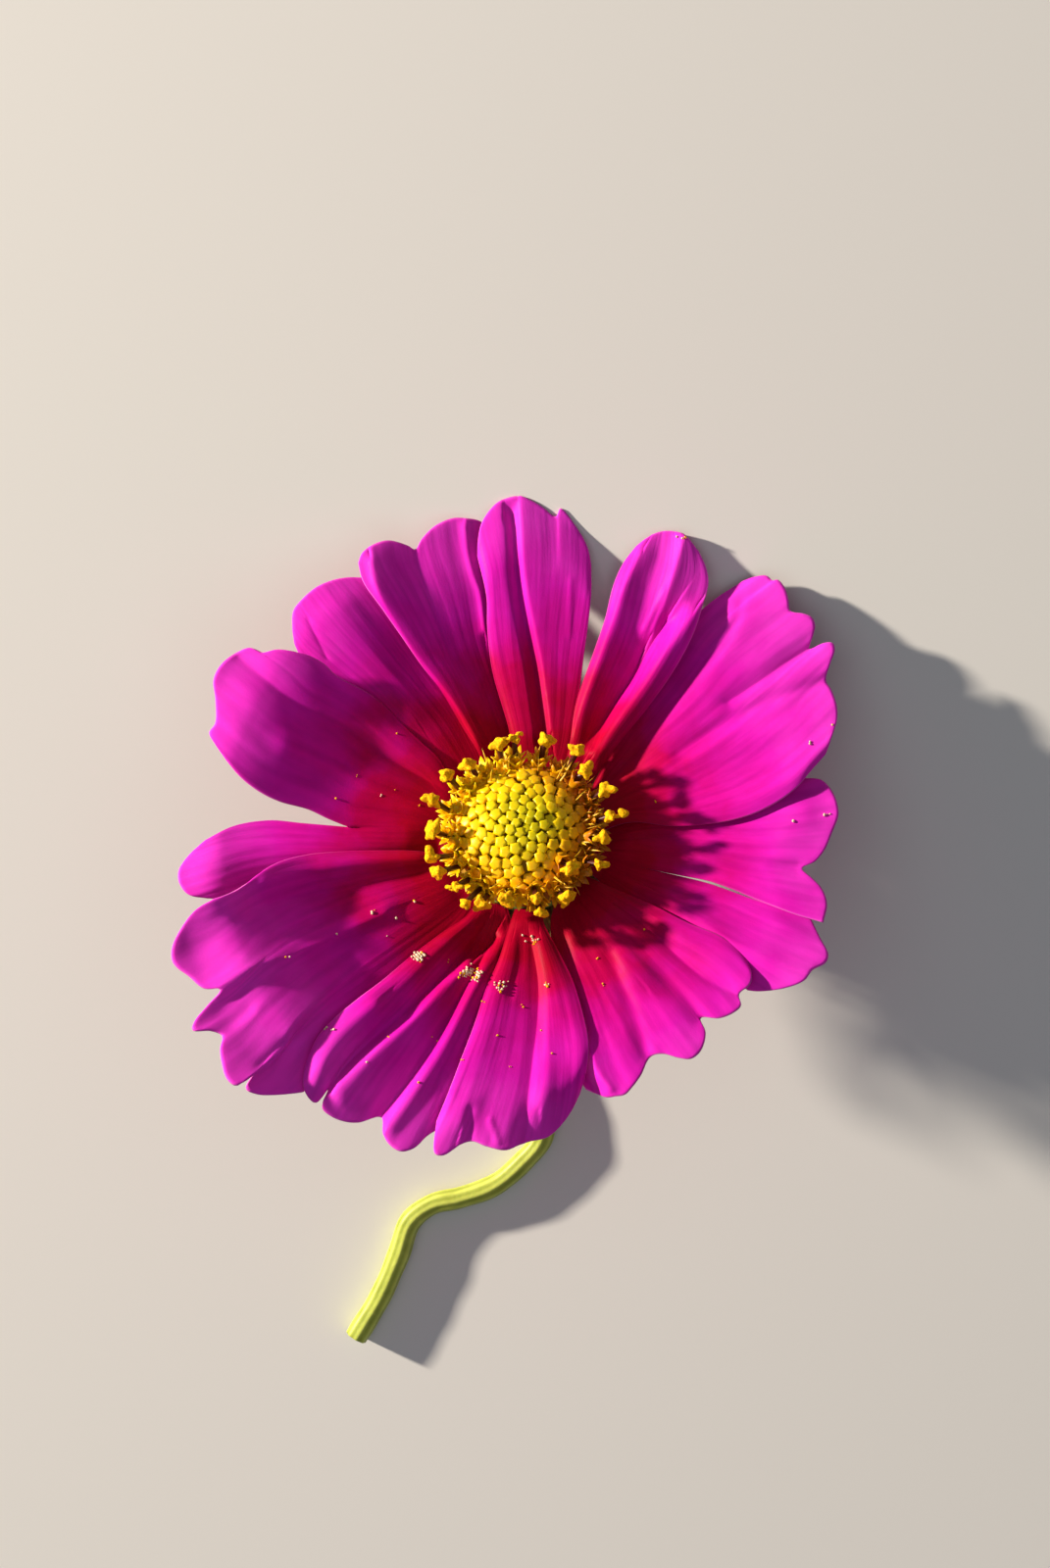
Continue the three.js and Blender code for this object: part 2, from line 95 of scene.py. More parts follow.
# The head's place on the surface, and the camera's line.
head = {
    "place": (1.2643, 12.4184, 14.7963),  # foot of the head's axis, in the row frame
    "leanAzimuth": 80.0,  # degrees: the way the face looks
    "leanTilt": 33.0,
    "sightTilt": 18.0,  # the camera's line is this far off the axis, towards the stem
}
leanAzimuth = np.radians(head["leanAzimuth"])
leanAxis = np.array([-np.sin(leanAzimuth), np.cos(leanAzimuth), 0])
lean = turnAbout(leanAxis, head["leanTilt"])
sight = turnAbout(leanAxis, -head["sightTilt"])  # columns: the camera's right, its up, and towards it


def toRow(points):  # head frame in mm to row frame in metres
    return (points @ lean.T + head["place"]) / 1000


def seenAt(x, y, height):  # the point at this height over the petal plane that is seen at (x, y)
    depth = (height - x * sight[2, 0] - y * sight[2, 1]) / sight[2, 2]
    return x[..., None] * sight[:, 0] + y[..., None] * sight[:, 1] + depth[..., None] * sight[:, 2]


view = {
    "distance": 2000.0,
    "frameHeight": 160.0,  # mm across the picture's 1600 px side at the head: 0.1 mm a pixel
    "aim": (0.25, 5.7),  # mm right of and above the head's foot, which shows at pixel (533, 857)
    "sensor": 36.0,
    "clip": (0.01, 20.0),  # metres
}


def makeCamera():
    axes = lean @ sight
    aim = np.array(head["place"]) + view["aim"][0] * axes[:, 0] + view["aim"][1] * axes[:, 1]
    camera = bpy.data.objects.new("camera", bpy.data.cameras.new("camera"))
    bpy.context.scene.collection.objects.link(camera)
    camera.data.sensor_width = view["sensor"]
    camera.data.lens = view["sensor"] * view["distance"] / view["frameHeight"]
    camera.data.clip_start, camera.data.clip_end = view["clip"]
    pose = np.eye(4)
    pose[:3, :3] = axes
    pose[:3, 3] = (aim + view["distance"] * axes[:, 2]) / 1000
    camera.matrix_world = Matrix(pose.tolist())
    bpy.context.scene.camera = camera


makeCamera()
print("camera")


def gridFaces(index):  # the quads between neighbouring entries of a grid of vertex numbers
    return np.stack([index[:-1, :-1], index[:-1, 1:], index[1:, 1:], index[1:, :-1]], -1).reshape(-1, 4)


def cornerNormals(points, faces):  # each vertex's normal: the sum of its quads' diagonal cross products
    flat = np.cross(points[faces[:, 2]] - points[faces[:, 0]], points[faces[:, 3]] - points[faces[:, 1]])
    normals = np.zeros_like(points)
    np.add.at(normals, faces.ravel(), np.repeat(flat, 4, axis=0))
    return unit(normals)


# A sheet given two skins, half its thickness to each side, and a wall along every free edge.
# An edge is free if only one quad has it.
def thicken(points, faces, thickness):
    normals = cornerNormals(points, faces)
    half = np.broadcast_to(np.asarray(thickness, float) / 2, len(points))[:, None]
    count = len(points)
    edges = np.stack([faces, np.roll(faces, -1, axis=1)], -1).reshape(-1, 2)
    key = np.sort(edges, axis=1) @ [count, 1]
    _, first, times = np.unique(key, return_index=True, return_counts=True)
    free = edges[first[times == 1]]
    wall = np.stack([free[:, 1], free[:, 0], free[:, 0] + count, free[:, 1] + count], -1)
    skins = np.vstack([points + half * normals, points - half * normals])
    return skins, np.vstack([faces, faces[:, ::-1] + count, wall])


# Gathers the parts of one piece: vertices in the head frame, quads, a material number for each quad
# and named values for each vertex.
class Shell:
    def __init__(self, *names):
        self.points, self.faces, self.slots, self.count = [], [], [], 0
        self.values = {name: [] for name in names}

    def add(self, points, faces, slot=0, **values):
        points = points.reshape(-1, 3)
        self.points.append(points)
        self.faces.append(faces + self.count)
        self.slots.append(np.broadcast_to(slot, len(faces)))
        for name, kept in self.values.items():
            kept.append(np.broadcast_to(np.ravel(values.get(name, 0.0)), len(points)))
        self.count += len(points)

    # A quad whose neighbours share a vertex, at a pole, becomes a triangle, and unused vertices go.
    def make(self, name, materials, inRow=False):
        used, faces = np.unique(np.vstack(self.faces), return_inverse=True)
        faces = faces.reshape(-1, 4)
        points = np.vstack(self.points)[used]
        corner = faces != np.roll(faces, 1, axis=1)
        sizes = corner.sum(1)
        starts = np.concatenate([[0], np.cumsum(sizes)[:-1]])
        mesh = bpy.data.meshes.new(name)
        mesh.vertices.add(len(points))
        mesh.vertices.foreach_set("co", (points / 1000 if inRow else toRow(points)).ravel())
        mesh.loops.add(int(sizes.sum()))
        mesh.loops.foreach_set("vertex_index", faces[corner].astype(np.int32))
        mesh.polygons.add(len(faces))
        mesh.polygons.foreach_set("loop_start", starts.astype(np.int32))
        for material in materials:
            mesh.materials.append(material)
        mesh.polygons.foreach_set("material_index", np.concatenate(self.slots).astype(np.int32))
        mesh.polygons.foreach_set("use_smooth", np.ones(len(faces), bool))
        for label, kept in self.values.items():
            layer = mesh.attributes.new(label, "FLOAT", "POINT")
            layer.data.foreach_set("value", np.concatenate(kept)[used].astype(np.float32))
        mesh.update(calc_edges=True)
        if mesh.validate():
            print("mended", name)
        piece = bpy.data.objects.new(name, mesh)
        bpy.context.scene.collection.objects.link(piece)
        return piece


# Faces of a grid that closes round on itself and whose first and last rows are one point each.
def ringFaces(rows, sides):
    index = np.arange(rows * sides).reshape(rows, sides)
    index[0], index[-1] = index[0, 0], index[-1, 0]
    return gridFaces(np.column_stack([index, index[:, 0]]))


# Rings of (radius, height) pairs about +z. Each radius is multiplied by 1 + its wave x cos(count x
# angle), each height gains its own wave of that, and a power under 1 makes the wave squarer.
def turned(profile, sides, radiusWaves=0.0, heightWaves=0.0, count=5, power=1.0):
    angle = 2 * np.pi * np.arange(sides) / sides
    wave = np.cos(count * angle)
    wave = np.sign(wave) * np.abs(wave) ** power
    profile = np.asarray(profile, float)
    rows = len(profile)
    radius = profile[:, :1] * (1 + np.broadcast_to(radiusWaves, rows)[:, None] * wave)
    height = profile[:, 1:] + np.broadcast_to(heightWaves, rows)[:, None] * wave
    points = np.stack([radius * np.cos(angle), radius * np.sin(angle), height + 0 * radius], -1)
    return points, ringFaces(rows, sides)


# A tube along a smooth line. Each ring lies across the line, and squash flattens it along the reference.
def sweep(line, shares, radii, sides, reference=(0, 0, 1), squash=1.0):
    shares = np.asarray(shares, float)
    ahead, behind = (alongLine(line, np.clip(shares + step, 0, 1)) for step in (0.004, -0.004))
    tangent = unit(ahead - behind)
    first = unit(np.cross(reference, tangent))
    second = np.cross(tangent, first)
    angle = 2 * np.pi * np.arange(sides) / sides
    radii = np.asarray(radii, float).reshape(len(shares), -1)[..., None]
    ring = np.cos(angle)[:, None] * first[:, None] + squash * np.sin(angle)[:, None] * second[:, None]
    return alongLine(line, shares)[:, None] + radii * ring, ringFaces(len(shares), sides)


# Axes of things that stand on the dome: tilt degrees off the head's axis towards an azimuth, and
# turned about their own axis by twist.
def standing(azimuth, tilt, twist):
    f, t, w = np.broadcast_arrays(*(np.radians(a) for a in (azimuth, tilt, twist)))
    down = np.stack([np.cos(t) * np.cos(f), np.cos(t) * np.sin(f), -np.sin(t)], -1)
    side = np.stack([-np.sin(f), np.cos(f), 0 * f], -1)
    first = np.cos(w)[..., None] * down + np.sin(w)[..., None] * side
    up = np.stack([np.sin(t) * np.cos(f), np.sin(t) * np.sin(f), np.cos(t)], -1)
    return np.stack([first, np.cross(up, first), up], -1)


def copies(points, faces, axes, places, sizes):  # one form set down many times
    form = points.reshape(-1, 3)
    many = np.einsum("nij,nkj->nki", axes, form[None] * sizes[:, None, None]) + places[:, None]
    return many, (faces[None] + len(form) * np.arange(len(places))[:, None, None]).reshape(-1, 4)


# A knobbly lump: a sphere whose radius swells by rise x exp(sharp x (cos(angle to a knob) - 1)).
def lump(rows, sides, knobs, rise, sharp):
    polar = np.linspace(0, np.pi, rows)[::-1, None]
    angle = 2 * np.pi * np.arange(sides) / sides
    across = np.sin(polar)
    out = np.stack([across * np.cos(angle), across * np.sin(angle), np.cos(polar) + 0 * angle], -1)
    swell = 1 + (rise * np.exp(sharp * (out @ unit(knobs).T - 1))).sum(-1, keepdims=True)
    swell[[0, -1]] = swell[[0, -1]].mean(1, keepdims=True)
    return out * swell, ringFaces(rows, sides)


def place(piece, slot, *nodes):  # on the body, in place of these CAD nodes
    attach(piece, "root")
    if nodes:
        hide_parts(*nodes)


def linear(colour):  # sRGB hex to linear: the standard curve, (c + 0.055) / 1.055 to the power 2.4
    c = np.array([int(colour[i:i + 2], 16) / 255 for i in (1, 3, 5)])
    return (*np.where(c <= 0.04045, c / 12.92, ((c + 0.055) / 1.055) ** 2.4), 1.0)


# Adds one node: values sets its sockets, links joins its sockets to outputs, stops fills a colour
# ramp and settings are its own. Gives back one of its outputs.
def addNode(tree, kind, values=None, links=None, stops=(), out=0, **settings):
    node = tree.nodes.new("ShaderNode" + kind)
    for key, value in settings.items():
        setattr(node, key, value)
    for key, value in (values or {}).items():
        node.inputs[key].default_value = value
    for key, source in (links or {}).items():
        tree.links.new(source, node.inputs[key])
    for i, (at, colour) in enumerate(stops):
        stop = node.color_ramp.elements[i] if i < 2 else node.color_ramp.elements.new(at)
        stop.position, stop.color = at, linear(colour)
    return node.outputs[out]


def newMaterial(name, values):  # a Principled material, its node tree and its shader's sockets
    material = bpy.data.materials.new(name)
    material.use_nodes = True
    tree = material.node_tree
    tree.nodes.clear()
    surface = addNode(tree, "BsdfPrincipled", values)
    tree.links.new(surface, tree.nodes.new("ShaderNodeOutputMaterial").inputs["Surface"])
    return material, tree, surface.node.inputs


petalLook = {
    "tipRadius": 36.0,  # mm, where the colour ramp from base to tip ends
    "veins": 26.0,  # fine streaks from edge to edge of a petal, about 0.5 mm apart
    "veinLength": 0.12,  # how slowly they change along the petal, per mm
    "rim": 0.16,  # mm of paler tissue along the free edge, which also paints an edge highlight
    "rimFrom": 18.0, "rimFull": 27.0,  # mm from the axis, where that sets in
}


# Ray floret skin, fresh: domed cells a few hundredths of a millimetre wide give a velvety satin,
# with the colour inside the cells, so the lights keep their hue. Light passes a little way through.
def makePetalTissue():
    material, tree, shader = newMaterial("petalTissue", {
        "IOR": 1.4, "Specular IOR Level": 0.07, "Sheen Weight": 0.07, "Sheen Roughness": 0.4,
        "Sheen Tint": linear("#ff80dc"), "Subsurface Weight": 0.12, "Subsurface Scale": 0.0005,
        "Subsurface Radius": (1.0, 0.15, 0.6)})
    radius, across, edge, under = (
        addNode(tree, "Attribute", out="Fac", attribute_name=name)
        for name in ("radius", "across", "edge", "under"))
    here = addNode(tree, "TexCoord", out="Object")
    # The ramp from base to tip, whose ends wander by patches of about 5 mm.
    blotch = addNode(tree, "TexNoise", {"Scale": 190.0, "Detail": 3.0}, {"Vector": here})
    wander = addNode(tree, "MapRange", {
        "From Min": 0.3, "From Max": 0.7, "To Min": -0.07, "To Max": 0.07}, {"Value": blotch})
    reach = addNode(tree, "Math", {1: 1 / petalLook["tipRadius"]}, {0: radius, 2: wander},
                    operation="MULTIPLY_ADD")
    face = addNode(tree, "ValToRGB", links={"Fac": reach}, stops=[
        (0.18, "#96001a"), (0.33, "#ae002a"), (0.45, "#c00054"), (0.57, "#d00a90"), (0.72, "#dc18b2"),
        (0.96, "#ee38cc")])
    # Veins: noise drawn out along the petal.
    veinX = addNode(tree, "Math", {1: petalLook["veins"]}, {0: across}, operation="MULTIPLY")
    veinY = addNode(tree, "Math", {1: petalLook["veinLength"]}, {0: radius}, operation="MULTIPLY")
    veinPlace = addNode(tree, "CombineXYZ", links={"X": veinX, "Y": veinY})
    vein = addNode(tree, "TexNoise", {"Scale": 1.0, "Detail": 2.0}, {"Vector": veinPlace})
    shade = addNode(tree, "ValToRGB", links={"Fac": vein}, stops=[(0.3, "#e6e6e6"), (0.65, "#ffffff")])
    veined = addNode(tree, "Mix", {0: 1.0}, {6: face, 7: shade}, out=2, data_type="RGBA",
                     blend_type="MULTIPLY")
    # The paler underside, and the pale rim: paler edge tissue and a painted edge highlight.
    sides = addNode(tree, "Mix", {7: linear("#c25a9c")}, {0: under, 6: veined}, out=2, data_type="RGBA")
    paleEdgeAndHighlight = addNode(tree, "MapRange", {
        "From Min": 0.0, "From Max": petalLook["rim"], "To Min": 0.35, "To Max": 0.0}, {"Value": edge})
    outer = addNode(tree, "MapRange", {
        "From Min": petalLook["rimFrom"], "From Max": petalLook["rimFull"]}, {"Value": radius})
    rim = addNode(tree, "Math", links={0: paleEdgeAndHighlight, 1: outer}, operation="MULTIPLY")
    colour = addNode(tree, "Mix", {7: linear("#f08ad4")}, {0: rim, 6: sides}, out=2, data_type="RGBA")
    tree.links.new(colour, shader["Base Color"])
    # Cells: 0.2 mm, coarser than the real ones, so that they show.
    cells = addNode(tree, "TexNoise", {"Scale": 5200.0, "Detail": 2.0}, {"Vector": here})
    relief = addNode(tree, "Math", {1: 0.35}, {0: cells, 2: vein}, operation="MULTIPLY_ADD")
    bump = addNode(tree, "Bump", {"Strength": 0.8, "Distance": 0.00004}, {"Height": relief})
    tree.links.new(bump, shader["Normal"])
    gloss = addNode(tree, "MapRange", {
        "From Min": 0.3, "From Max": 0.7, "To Min": 0.42, "To Max": 0.56}, {"Value": vein})
    tree.links.new(gloss, shader["Roughness"])
    return material


# The petals together: a shallow bowl, deeper on the left, whose rim turns outwards there.
bowl = {
    "baseRadius": 6.5,
    "reach": 28.0,
    "rise": 5.0,
    "power": 1.3,
    "droop": 1.5, "droopFrom": 30.5, "droopTo": 36.0, "droopAzimuth": 180.0, "droopSpread": 85.0,
}
petalForm = {
    "thickness": 0.24,
    "rimThickness": 0.12,
    "rimWidth": 0.5,
    "marginWidth": 3.2,
    "rollWidth": 0.8,
    "marginsFrom": 6.6, "marginsFull": 9.2,  # mm from the axis, where margins, rolls and tilt set in
    "creasesFrom": 7.5, "creasesFull": 12.0,
    "creaseSamples": 22,
    "pleats": 0.009, "pleatSpacing": 1.5,  # fine ones, all the way across
    "pleatsFrom": 9.0, "pleatsFull": 16.0,
    "droopFrom": 0.8, "droopTo": 1.05,  # share of the petal's length over which its own droop sets in
    "noCup": (0, 20, 30, 0),
    "wallFull": 0.35,  # share of the length past a split's inner end over which its walls lift
    "wallWidth": 0.16,  # share of the petal's width
    "rows": 100,
    "columns": 116, "lobeColumns": 0.35,  # a lobe has at least this share of the columns
    "bow": 2.2,
    "restGap": 0.03, "restBlend": 0.5,  # mm over the surface, and how softly a petal comes to rest on it
}

# Outlines in mm as the camera sees them, x right and y up. ccw and cw are the side edges from the base
# outwards, and tip goes between their ends, from ccw round to cw. A split petal's near lobe lies between
# ccw and nearWall, its far lobe between farWall and cw with farTip, and both walls start where its seam
# ends, at the share splitAt of the length and seamAt of the width. margins lift or tuck each side edge,
# and rolls turn it down again at its very rim. A petal with its own rise has that in place of the bowl's,
# droop lowers its tip, and tilt leans it by so much for each mm across. A cup is (lift, from radius, to
# radius, share of the width over which it sets in). A crease is (height, width on its ccw side, width on
# its cw side, power, line), where a power of 2 is a soft fold and 1 a sharp one.
petals = {
    "petal_top": {
        "ccw": [(0.3, 6.8), (-0.9, 9.2), (-1.5, 11.7), (-3.1, 17.3), (-3.6, 21.5), (-3.7, 25), (-4.6, 29)],
        "tip": [(-4.5, 31), (-4.1, 32.6), (-2.6, 34.5), (-0.7, 35.3), (0.8, 34.8), (2, 34.1), (3.4, 33.1),
                (3.9, 34), (5.5, 32), (6.6, 30)],
        "cw": [(3.2, 6.1), (4.6, 8.6), (5.3, 11.7), (5.8, 15), (6.3, 19), (6.7, 21.9), (7, 25), (7, 28.2)],
        "margins": (0.3, -0.1), "rolls": (0.2, 0), "rise": 4.6, "droop": 0.7,
        "creases": [
            (-0.35, 0.5, 0.6, 1.3, [(2, 11.1), (1.7, 13.5), (1.1, 17.8), (0.2, 22), (-0.7, 27),
                                    (-1.2, 34.7)]),
            (0.5, 2.6, 0.6, 2, [(1, 11), (0.5, 14), (-0.1, 18), (-0.9, 22), (-1.6, 26.5), (-1.9, 32)]),
            (0.6, 0.5, 4.4, 1.3, [(3, 11.1), (2.7, 13.5), (2.1, 17.8), (1.2, 22), (0.3, 27), (-0.2, 34.5)]),
            (0.05, 0.3, 0.3, 2, [(4.8, 20.8), (4.9, 26.5)]),
        ],
    },
    "petal_upper_right": {
        "ccw": [(3.9, 5.8), (4.9, 10.2), (5.4, 13.7), (7.2, 19), (8.4, 22.5), (9.3, 26.1), (10.3, 28.3),
                (11.6, 30)],
        "tip": [(13.2, 31.2), (14.6, 31.6), (16.2, 31.4), (16.7, 31.1)],
        "cw": [(5.9, 3.8), (9, 8.8), (12.9, 13.7), (15.5, 17.4), (17.4, 21), (18.4, 23.9), (19, 26.1),
               (18.8, 27.7), (18, 29.5)],
        "margins": (0.7, 0), "rolls": (0.35, 0), "rise": 4.5, "droop": 0.5,
        "creases": [
            (-0.9, 1.8, 0.6, 1.3, [(7.2, 9.6), (9.4, 13.7), (11.5, 16.8), (12.9, 19.4), (14.7, 22.3)]),
            (1.5, 1, 1.8, 2, [(7.6, 9), (9.8, 12), (12.4, 15.5), (14.3, 18.4), (16.2, 21.1), (17.3, 22.8)]),
            (0.95, 1.2, 2.4, 1.3, [(13.4, 21.5), (14.6, 24.5), (15.6, 27.5), (16.5, 30.8)]),
            (0.45, 0.5, 1.4, 2, [(5, 9.6), (6.2, 13.7), (8.1, 19), (9.4, 22.5), (10.6, 26.1), (12.2, 29.2)]),
            (0.12, 0.3, 0.3, 2, [(12.5, 21.5), (14.5, 25.5)]),
        ],
    },
    "petal_right_broad": {
        "ccw": [(6.2, 3.7), (8.6, 8.3), (11.6, 13.6), (14.6, 18.2), (17, 22.2), (19.4, 24.4), (22.6, 26.5)],
        "tip": [(23.8, 26.9), (25, 27), (25.6, 26.5), (26.1, 26.6), (26.8, 25.8), (27.2, 24.5), (27.4, 23.4),
                (28.8, 23.1), (29.6, 22.7), (29.9, 21.9), (29.7, 20.9), (29.3, 19.5), (30.8, 20.1),
                (31.7, 20.1), (31.9, 19.4), (31.4, 17.9), (31, 16.3), (31.6, 15.2), (32.1, 13.6),
                (32.1, 12.3), (31.7, 10.9)],
        "cw": [(7.2, 0.6), (11, 1.8), (15.3, 1.4), (18.7, 1.6), (21.3, 2), (23.9, 2.8), (26.5, 4.2),
               (28.2, 5.6), (29.3, 6.9), (30.9, 8.7)],
        "margins": (-1.6, 0.8), "rolls": (0, 0.3), "droop": 0.6,
        "creases": [
            (0.2, 0.7, 2.2, 1.3, [(11.3, 8.6), (13.3, 10.6), (15.8, 13.5), (18.6, 16.3), (20.7, 19),
                                  (22.3, 21.5), (23.5, 26.6)]),
            (0.25, 0.5, 0.5, 2, [(18.6, 19.2), (20.3, 21.1), (21.7, 23.9)]),
            (-0.45, 0.9, 0.8, 1.3, [(21.1, 14.1), (24.1, 16.1), (26.8, 18), (29.3, 19.5)]),
            (-0.25, 0.8, 0.8, 2, [(16, 8.8), (21.1, 12.1), (25.1, 14.1), (31, 16.2)]),
            (0.25, 1.5, 1.5, 2, [(14, 6.5), (20, 9.2), (26, 11.2), (30.5, 12.5)]),
        ],
    },
    "petal_right_split": {
        "ccw": [(7.2, 0.2), (12, 2.6), (18, 3.4), (23, 4.4), (26.5, 5.6), (28.7, 6.3)],
        "tip": [(30.5, 6.1), (31.5, 5.1), (32.1, 3.7), (32.2, 2.5), (31.5, 0.6), (30.8, -1), (29.8, -2.2),
                (28.5, -2.9), (29.6, -4), (30.5, -5), (31, -6.5)],
        "seam": [(7, -1.4), (12, -2.8)],
        "nearWall": [(16, -3.6), (19, -4.2), (21.5, -5.1), (23.6, -6), (27.8, -7.6), (30.6, -8.4)],
        "farWall": [(16, -3.7), (19, -4.45), (21.5, -5.3), (23.6, -6.05), (26.6, -6.9), (29.3, -7.9)],
        "farTip": [(30.2, -9.8), (31.1, -11.7), (30.8, -12.5), (29.5, -13.2), (28.6, -14.3), (26.5, -15.1),
                   (23.9, -15.4)],
        "cw": [(6.6, -3.1), (10.5, -6.6), (14.5, -9.3), (18.5, -12), (21, -14), (22.9, -15.3)],
        "margins": (-0.8, -0.9), "rolls": (0, 0), "droop": 0.7, "splitAt": 0.27, "seamAt": 0.6,
        "wallLift": (0.35, -0.35),
        "creases": [
            (-0.25, 0.8, 0.8, 2, [(12, -0.2), (18.8, -2.5), (27.9, -2.9)]),
            (1, 1.5, 2.1, 1.3, [(14.6, -5.9), (16.5, -7), (18.8, -8.6), (21.5, -10.4), (23.4, -11.3),
                                (26.3, -12.7), (29.1, -13.6)]),
            (0.3, 1.6, 1.6, 2, [(10.5, 1.2), (17, 2), (23.5, 2.6), (28.5, 2.9)]),
        ],
    },
    "petal_lower_right": {
        "ccw": [(6.3, -3.6), (10.1, -5.3), (13.6, -6.8), (17, -8.5), (20, -9.7), (21.8, -11), (22.8, -12.3)],
        "tip": [(23.3, -13.7), (23.1, -14.7), (22, -15.7), (22.2, -16.8), (21.5, -17.5), (20, -18.1),
                (18.1, -18.1), (18.6, -19.6), (18.1, -21.4), (17.1, -22.2), (15.8, -22.1), (14.2, -21.7),
                (13, -22), (12, -23.9), (11.1, -25.1), (10.4, -25.8), (9.5, -26), (8.5, -26.1), (7.3, -25.7)],
        "cw": [(3.3, -6.3), (2.85, -8.4), (3.1, -11.2), (3.9, -14.2), (4.6, -17.4), (5, -20.5), (5.4, -23.5),
               (6.4, -25.3)],
        "margins": (0.8, -0.6), "rolls": (0.3, 0), "droop": 0.4,
        "creases": [
            (-0.6, 1, 0.7, 1.3, [(9.5, -6.6), (11.9, -8.4), (14.2, -10.4), (16.5, -12.5), (18.8, -14.3),
                                 (21.9, -15.8)]),
            (0.15, 1.4, 1, 2, [(11, -6.6), (16.5, -9.9), (20.5, -12.7), (22.4, -14.2)]),
            (-0.28, 0.9, 0.8, 2, [(10.5, -9.9), (12.6, -12), (15.6, -15.3), (17.9, -18.1)]),
            (-0.35, 0.8, 0.9, 2, [(8.9, -11.6), (10.3, -15.3), (11.9, -19.4), (12.6, -21.9)]),
            (0.1, 1.2, 1.2, 2, [(9.5, -11), (12.6, -14.5), (15.5, -18.5), (16.8, -21)]),
            (0.3, 1.6, 0.8, 2, [(5.2, -10), (5.8, -13), (6.5, -18), (6.9, -21.5)]),
            (0.45, 0.5, 0.6, 1.3, [(6.7, -20.8), (7.5, -23.3), (8.9, -25.3)]),
            (-1, 0.9, 0.9, 2, [(5.7, -22.4), (6.5, -24.6), (8.4, -26.4)]),
            (0.55, 3, 2.6, 2.5, [(7.2, -7.4), (9, -10), (11, -12.8)]),
            (-0.7, 1.6, 1.4, 2, [(5, -19.4), (5.4, -22), (6.2, -25)]),
            (-0.15, 0.8, 0.8, 2, [(8, -20), (9.3, -23.5), (10, -25.5)]),
        ],
    },
    "petal_bottom": {
        "ccw": [(1.9, -6.9), (2.2, -8.5), (3.6, -11.2), (5.1, -14.2), (6.1, -17.4), (6.7, -20.5),
                (6.5, -23.2), (5.8, -25.8)],
        "tip": [(4.5, -28.2), (2.6, -30.1), (0.6, -30.6), (-0.3, -30.9), (-1.7, -31.4), (-3.7, -31),
                (-5.1, -30.5), (-6.2, -30.8), (-8, -31.9), (-8.9, -31.7)],
        "cw": [(-0.8, -7.1), (-1.4, -8.9), (-2.4, -12.1), (-3.7, -15.1), (-4.9, -18.7), (-6.2, -22.1),
               (-7.6, -25.8), (-8.7, -28.5)],
        "margins": (0.7, 0.4), "rolls": (0.3, 0.25), "droop": 0.9,
        "creases": [
            (-0.4, 0.6, 1, 1.3, [(0.5, -8.8), (1, -11), (1.6, -14.5), (1.5, -18.6), (1, -22.7), (0.5, -26.7),
                                 (0.2, -30.4)]),
            (0.3, 1.3, 0.7, 2, [(2, -10.5), (2.7, -14.5), (2.8, -18.6), (2.4, -22.7), (1.9, -26.7)]),
            (0.25, 2, 1.2, 2, [(-1.2, -11), (-2.4, -15.5), (-3.6, -20), (-4.8, -24.5), (-6, -28.5)]),
            (-0.15, 0.5, 0.5, 2, [(-0.2, -9.4), (-0.4, -12.9), (-1.3, -15.7)]),
            (-1.9, 2.8, 2.8, 2, [(7.3, -26), (5.1, -28.8), (2.6, -31.2)]),
            (0.15, 0.3, 0.3, 2, [(-3.3, -28.4), (-2.5, -30.6)]),
            (-0.2, 0.5, 0.5, 2, [(-5.3, -27.4), (-5.4, -30.3)]),
        ],
    },
    "petal_bottom_left": {
        "ccw": [(-1.5, -7), (-1, -9), (-1.2, -12), (-2.2, -15.5), (-3.4, -19), (-4.7, -22.5), (-6.4, -26.5),
                (-8, -29)],
        "tip": [(-9.7, -30), (-11, -31.2), (-12.3, -31.5), (-13.4, -30.9), (-14.1, -29.8), (-14.3, -28.1),
                (-16.6, -28.6), (-18, -28.5), (-19.5, -27.9), (-20.3, -27.1), (-19.7, -25.2), (-20.9, -26.6),
                (-21.5, -26.3), (-22.1, -25.3), (-22.2, -23.9)],
        "cw": [(-4.2, -5.7), (-5.8, -7.8), (-8.4, -9.6), (-11.2, -11.7), (-14.3, -14.3), (-16.7, -16.1),
               (-19.1, -18.1), (-20.8, -20), (-21.7, -22)],
        "margins": (-0.9, 0.8), "rolls": (0, 0.35), "droop": 0.5,
        "creases": [
            (0.35, 1.2, 1.2, 2, [(-5.5, -8.9), (-9.5, -12.7), (-14, -16.7), (-18.2, -20.7), (-20.9, -24.2)]),
            (0.95, 1.5, 1.8, 2, [(-15.2, -16.8), (-18.4, -19.8), (-20, -22), (-20.6, -24.5)]),
            (-0.8, 0.7, 1.4, 1.3, [(-3.7, -8.4), (-5.9, -11.6), (-9, -14.9), (-13.1, -18.6), (-16.6, -21.6),
                                   (-19.8, -25.6)]),
            (1.3, 2.4, 0.9, 1.6, [(-5.5, -12.9), (-7.8, -14.9), (-11, -18.2), (-14.7, -21.4),
                                  (-18.6, -24.9)]),
            (-1.1, 0.6, 3.4, 1.3, [(-2.9, -10), (-4.3, -12.5), (-6.2, -15.7), (-7.8, -18.6), (-9.4, -21.4),
                                   (-11.1, -23.9), (-14.3, -28.1)]),
            (0.5, 1, 0.6, 2, [(-1.9, -9.6), (-3.7, -12.9), (-5.3, -15.7), (-7, -19), (-8.6, -21.8),
                              (-10.2, -24.3), (-13.5, -28.8)]),
        ],
    },
    "petal_lower_left": {
        "ccw": [(-4.4, -5.5), (-5.8, -8.2), (-7.2, -9.9), (-10.4, -12.9), (-13.6, -15.8), (-17, -18.8),
                (-19.4, -21.6), (-20.8, -24.3), (-22.2, -25.5)],
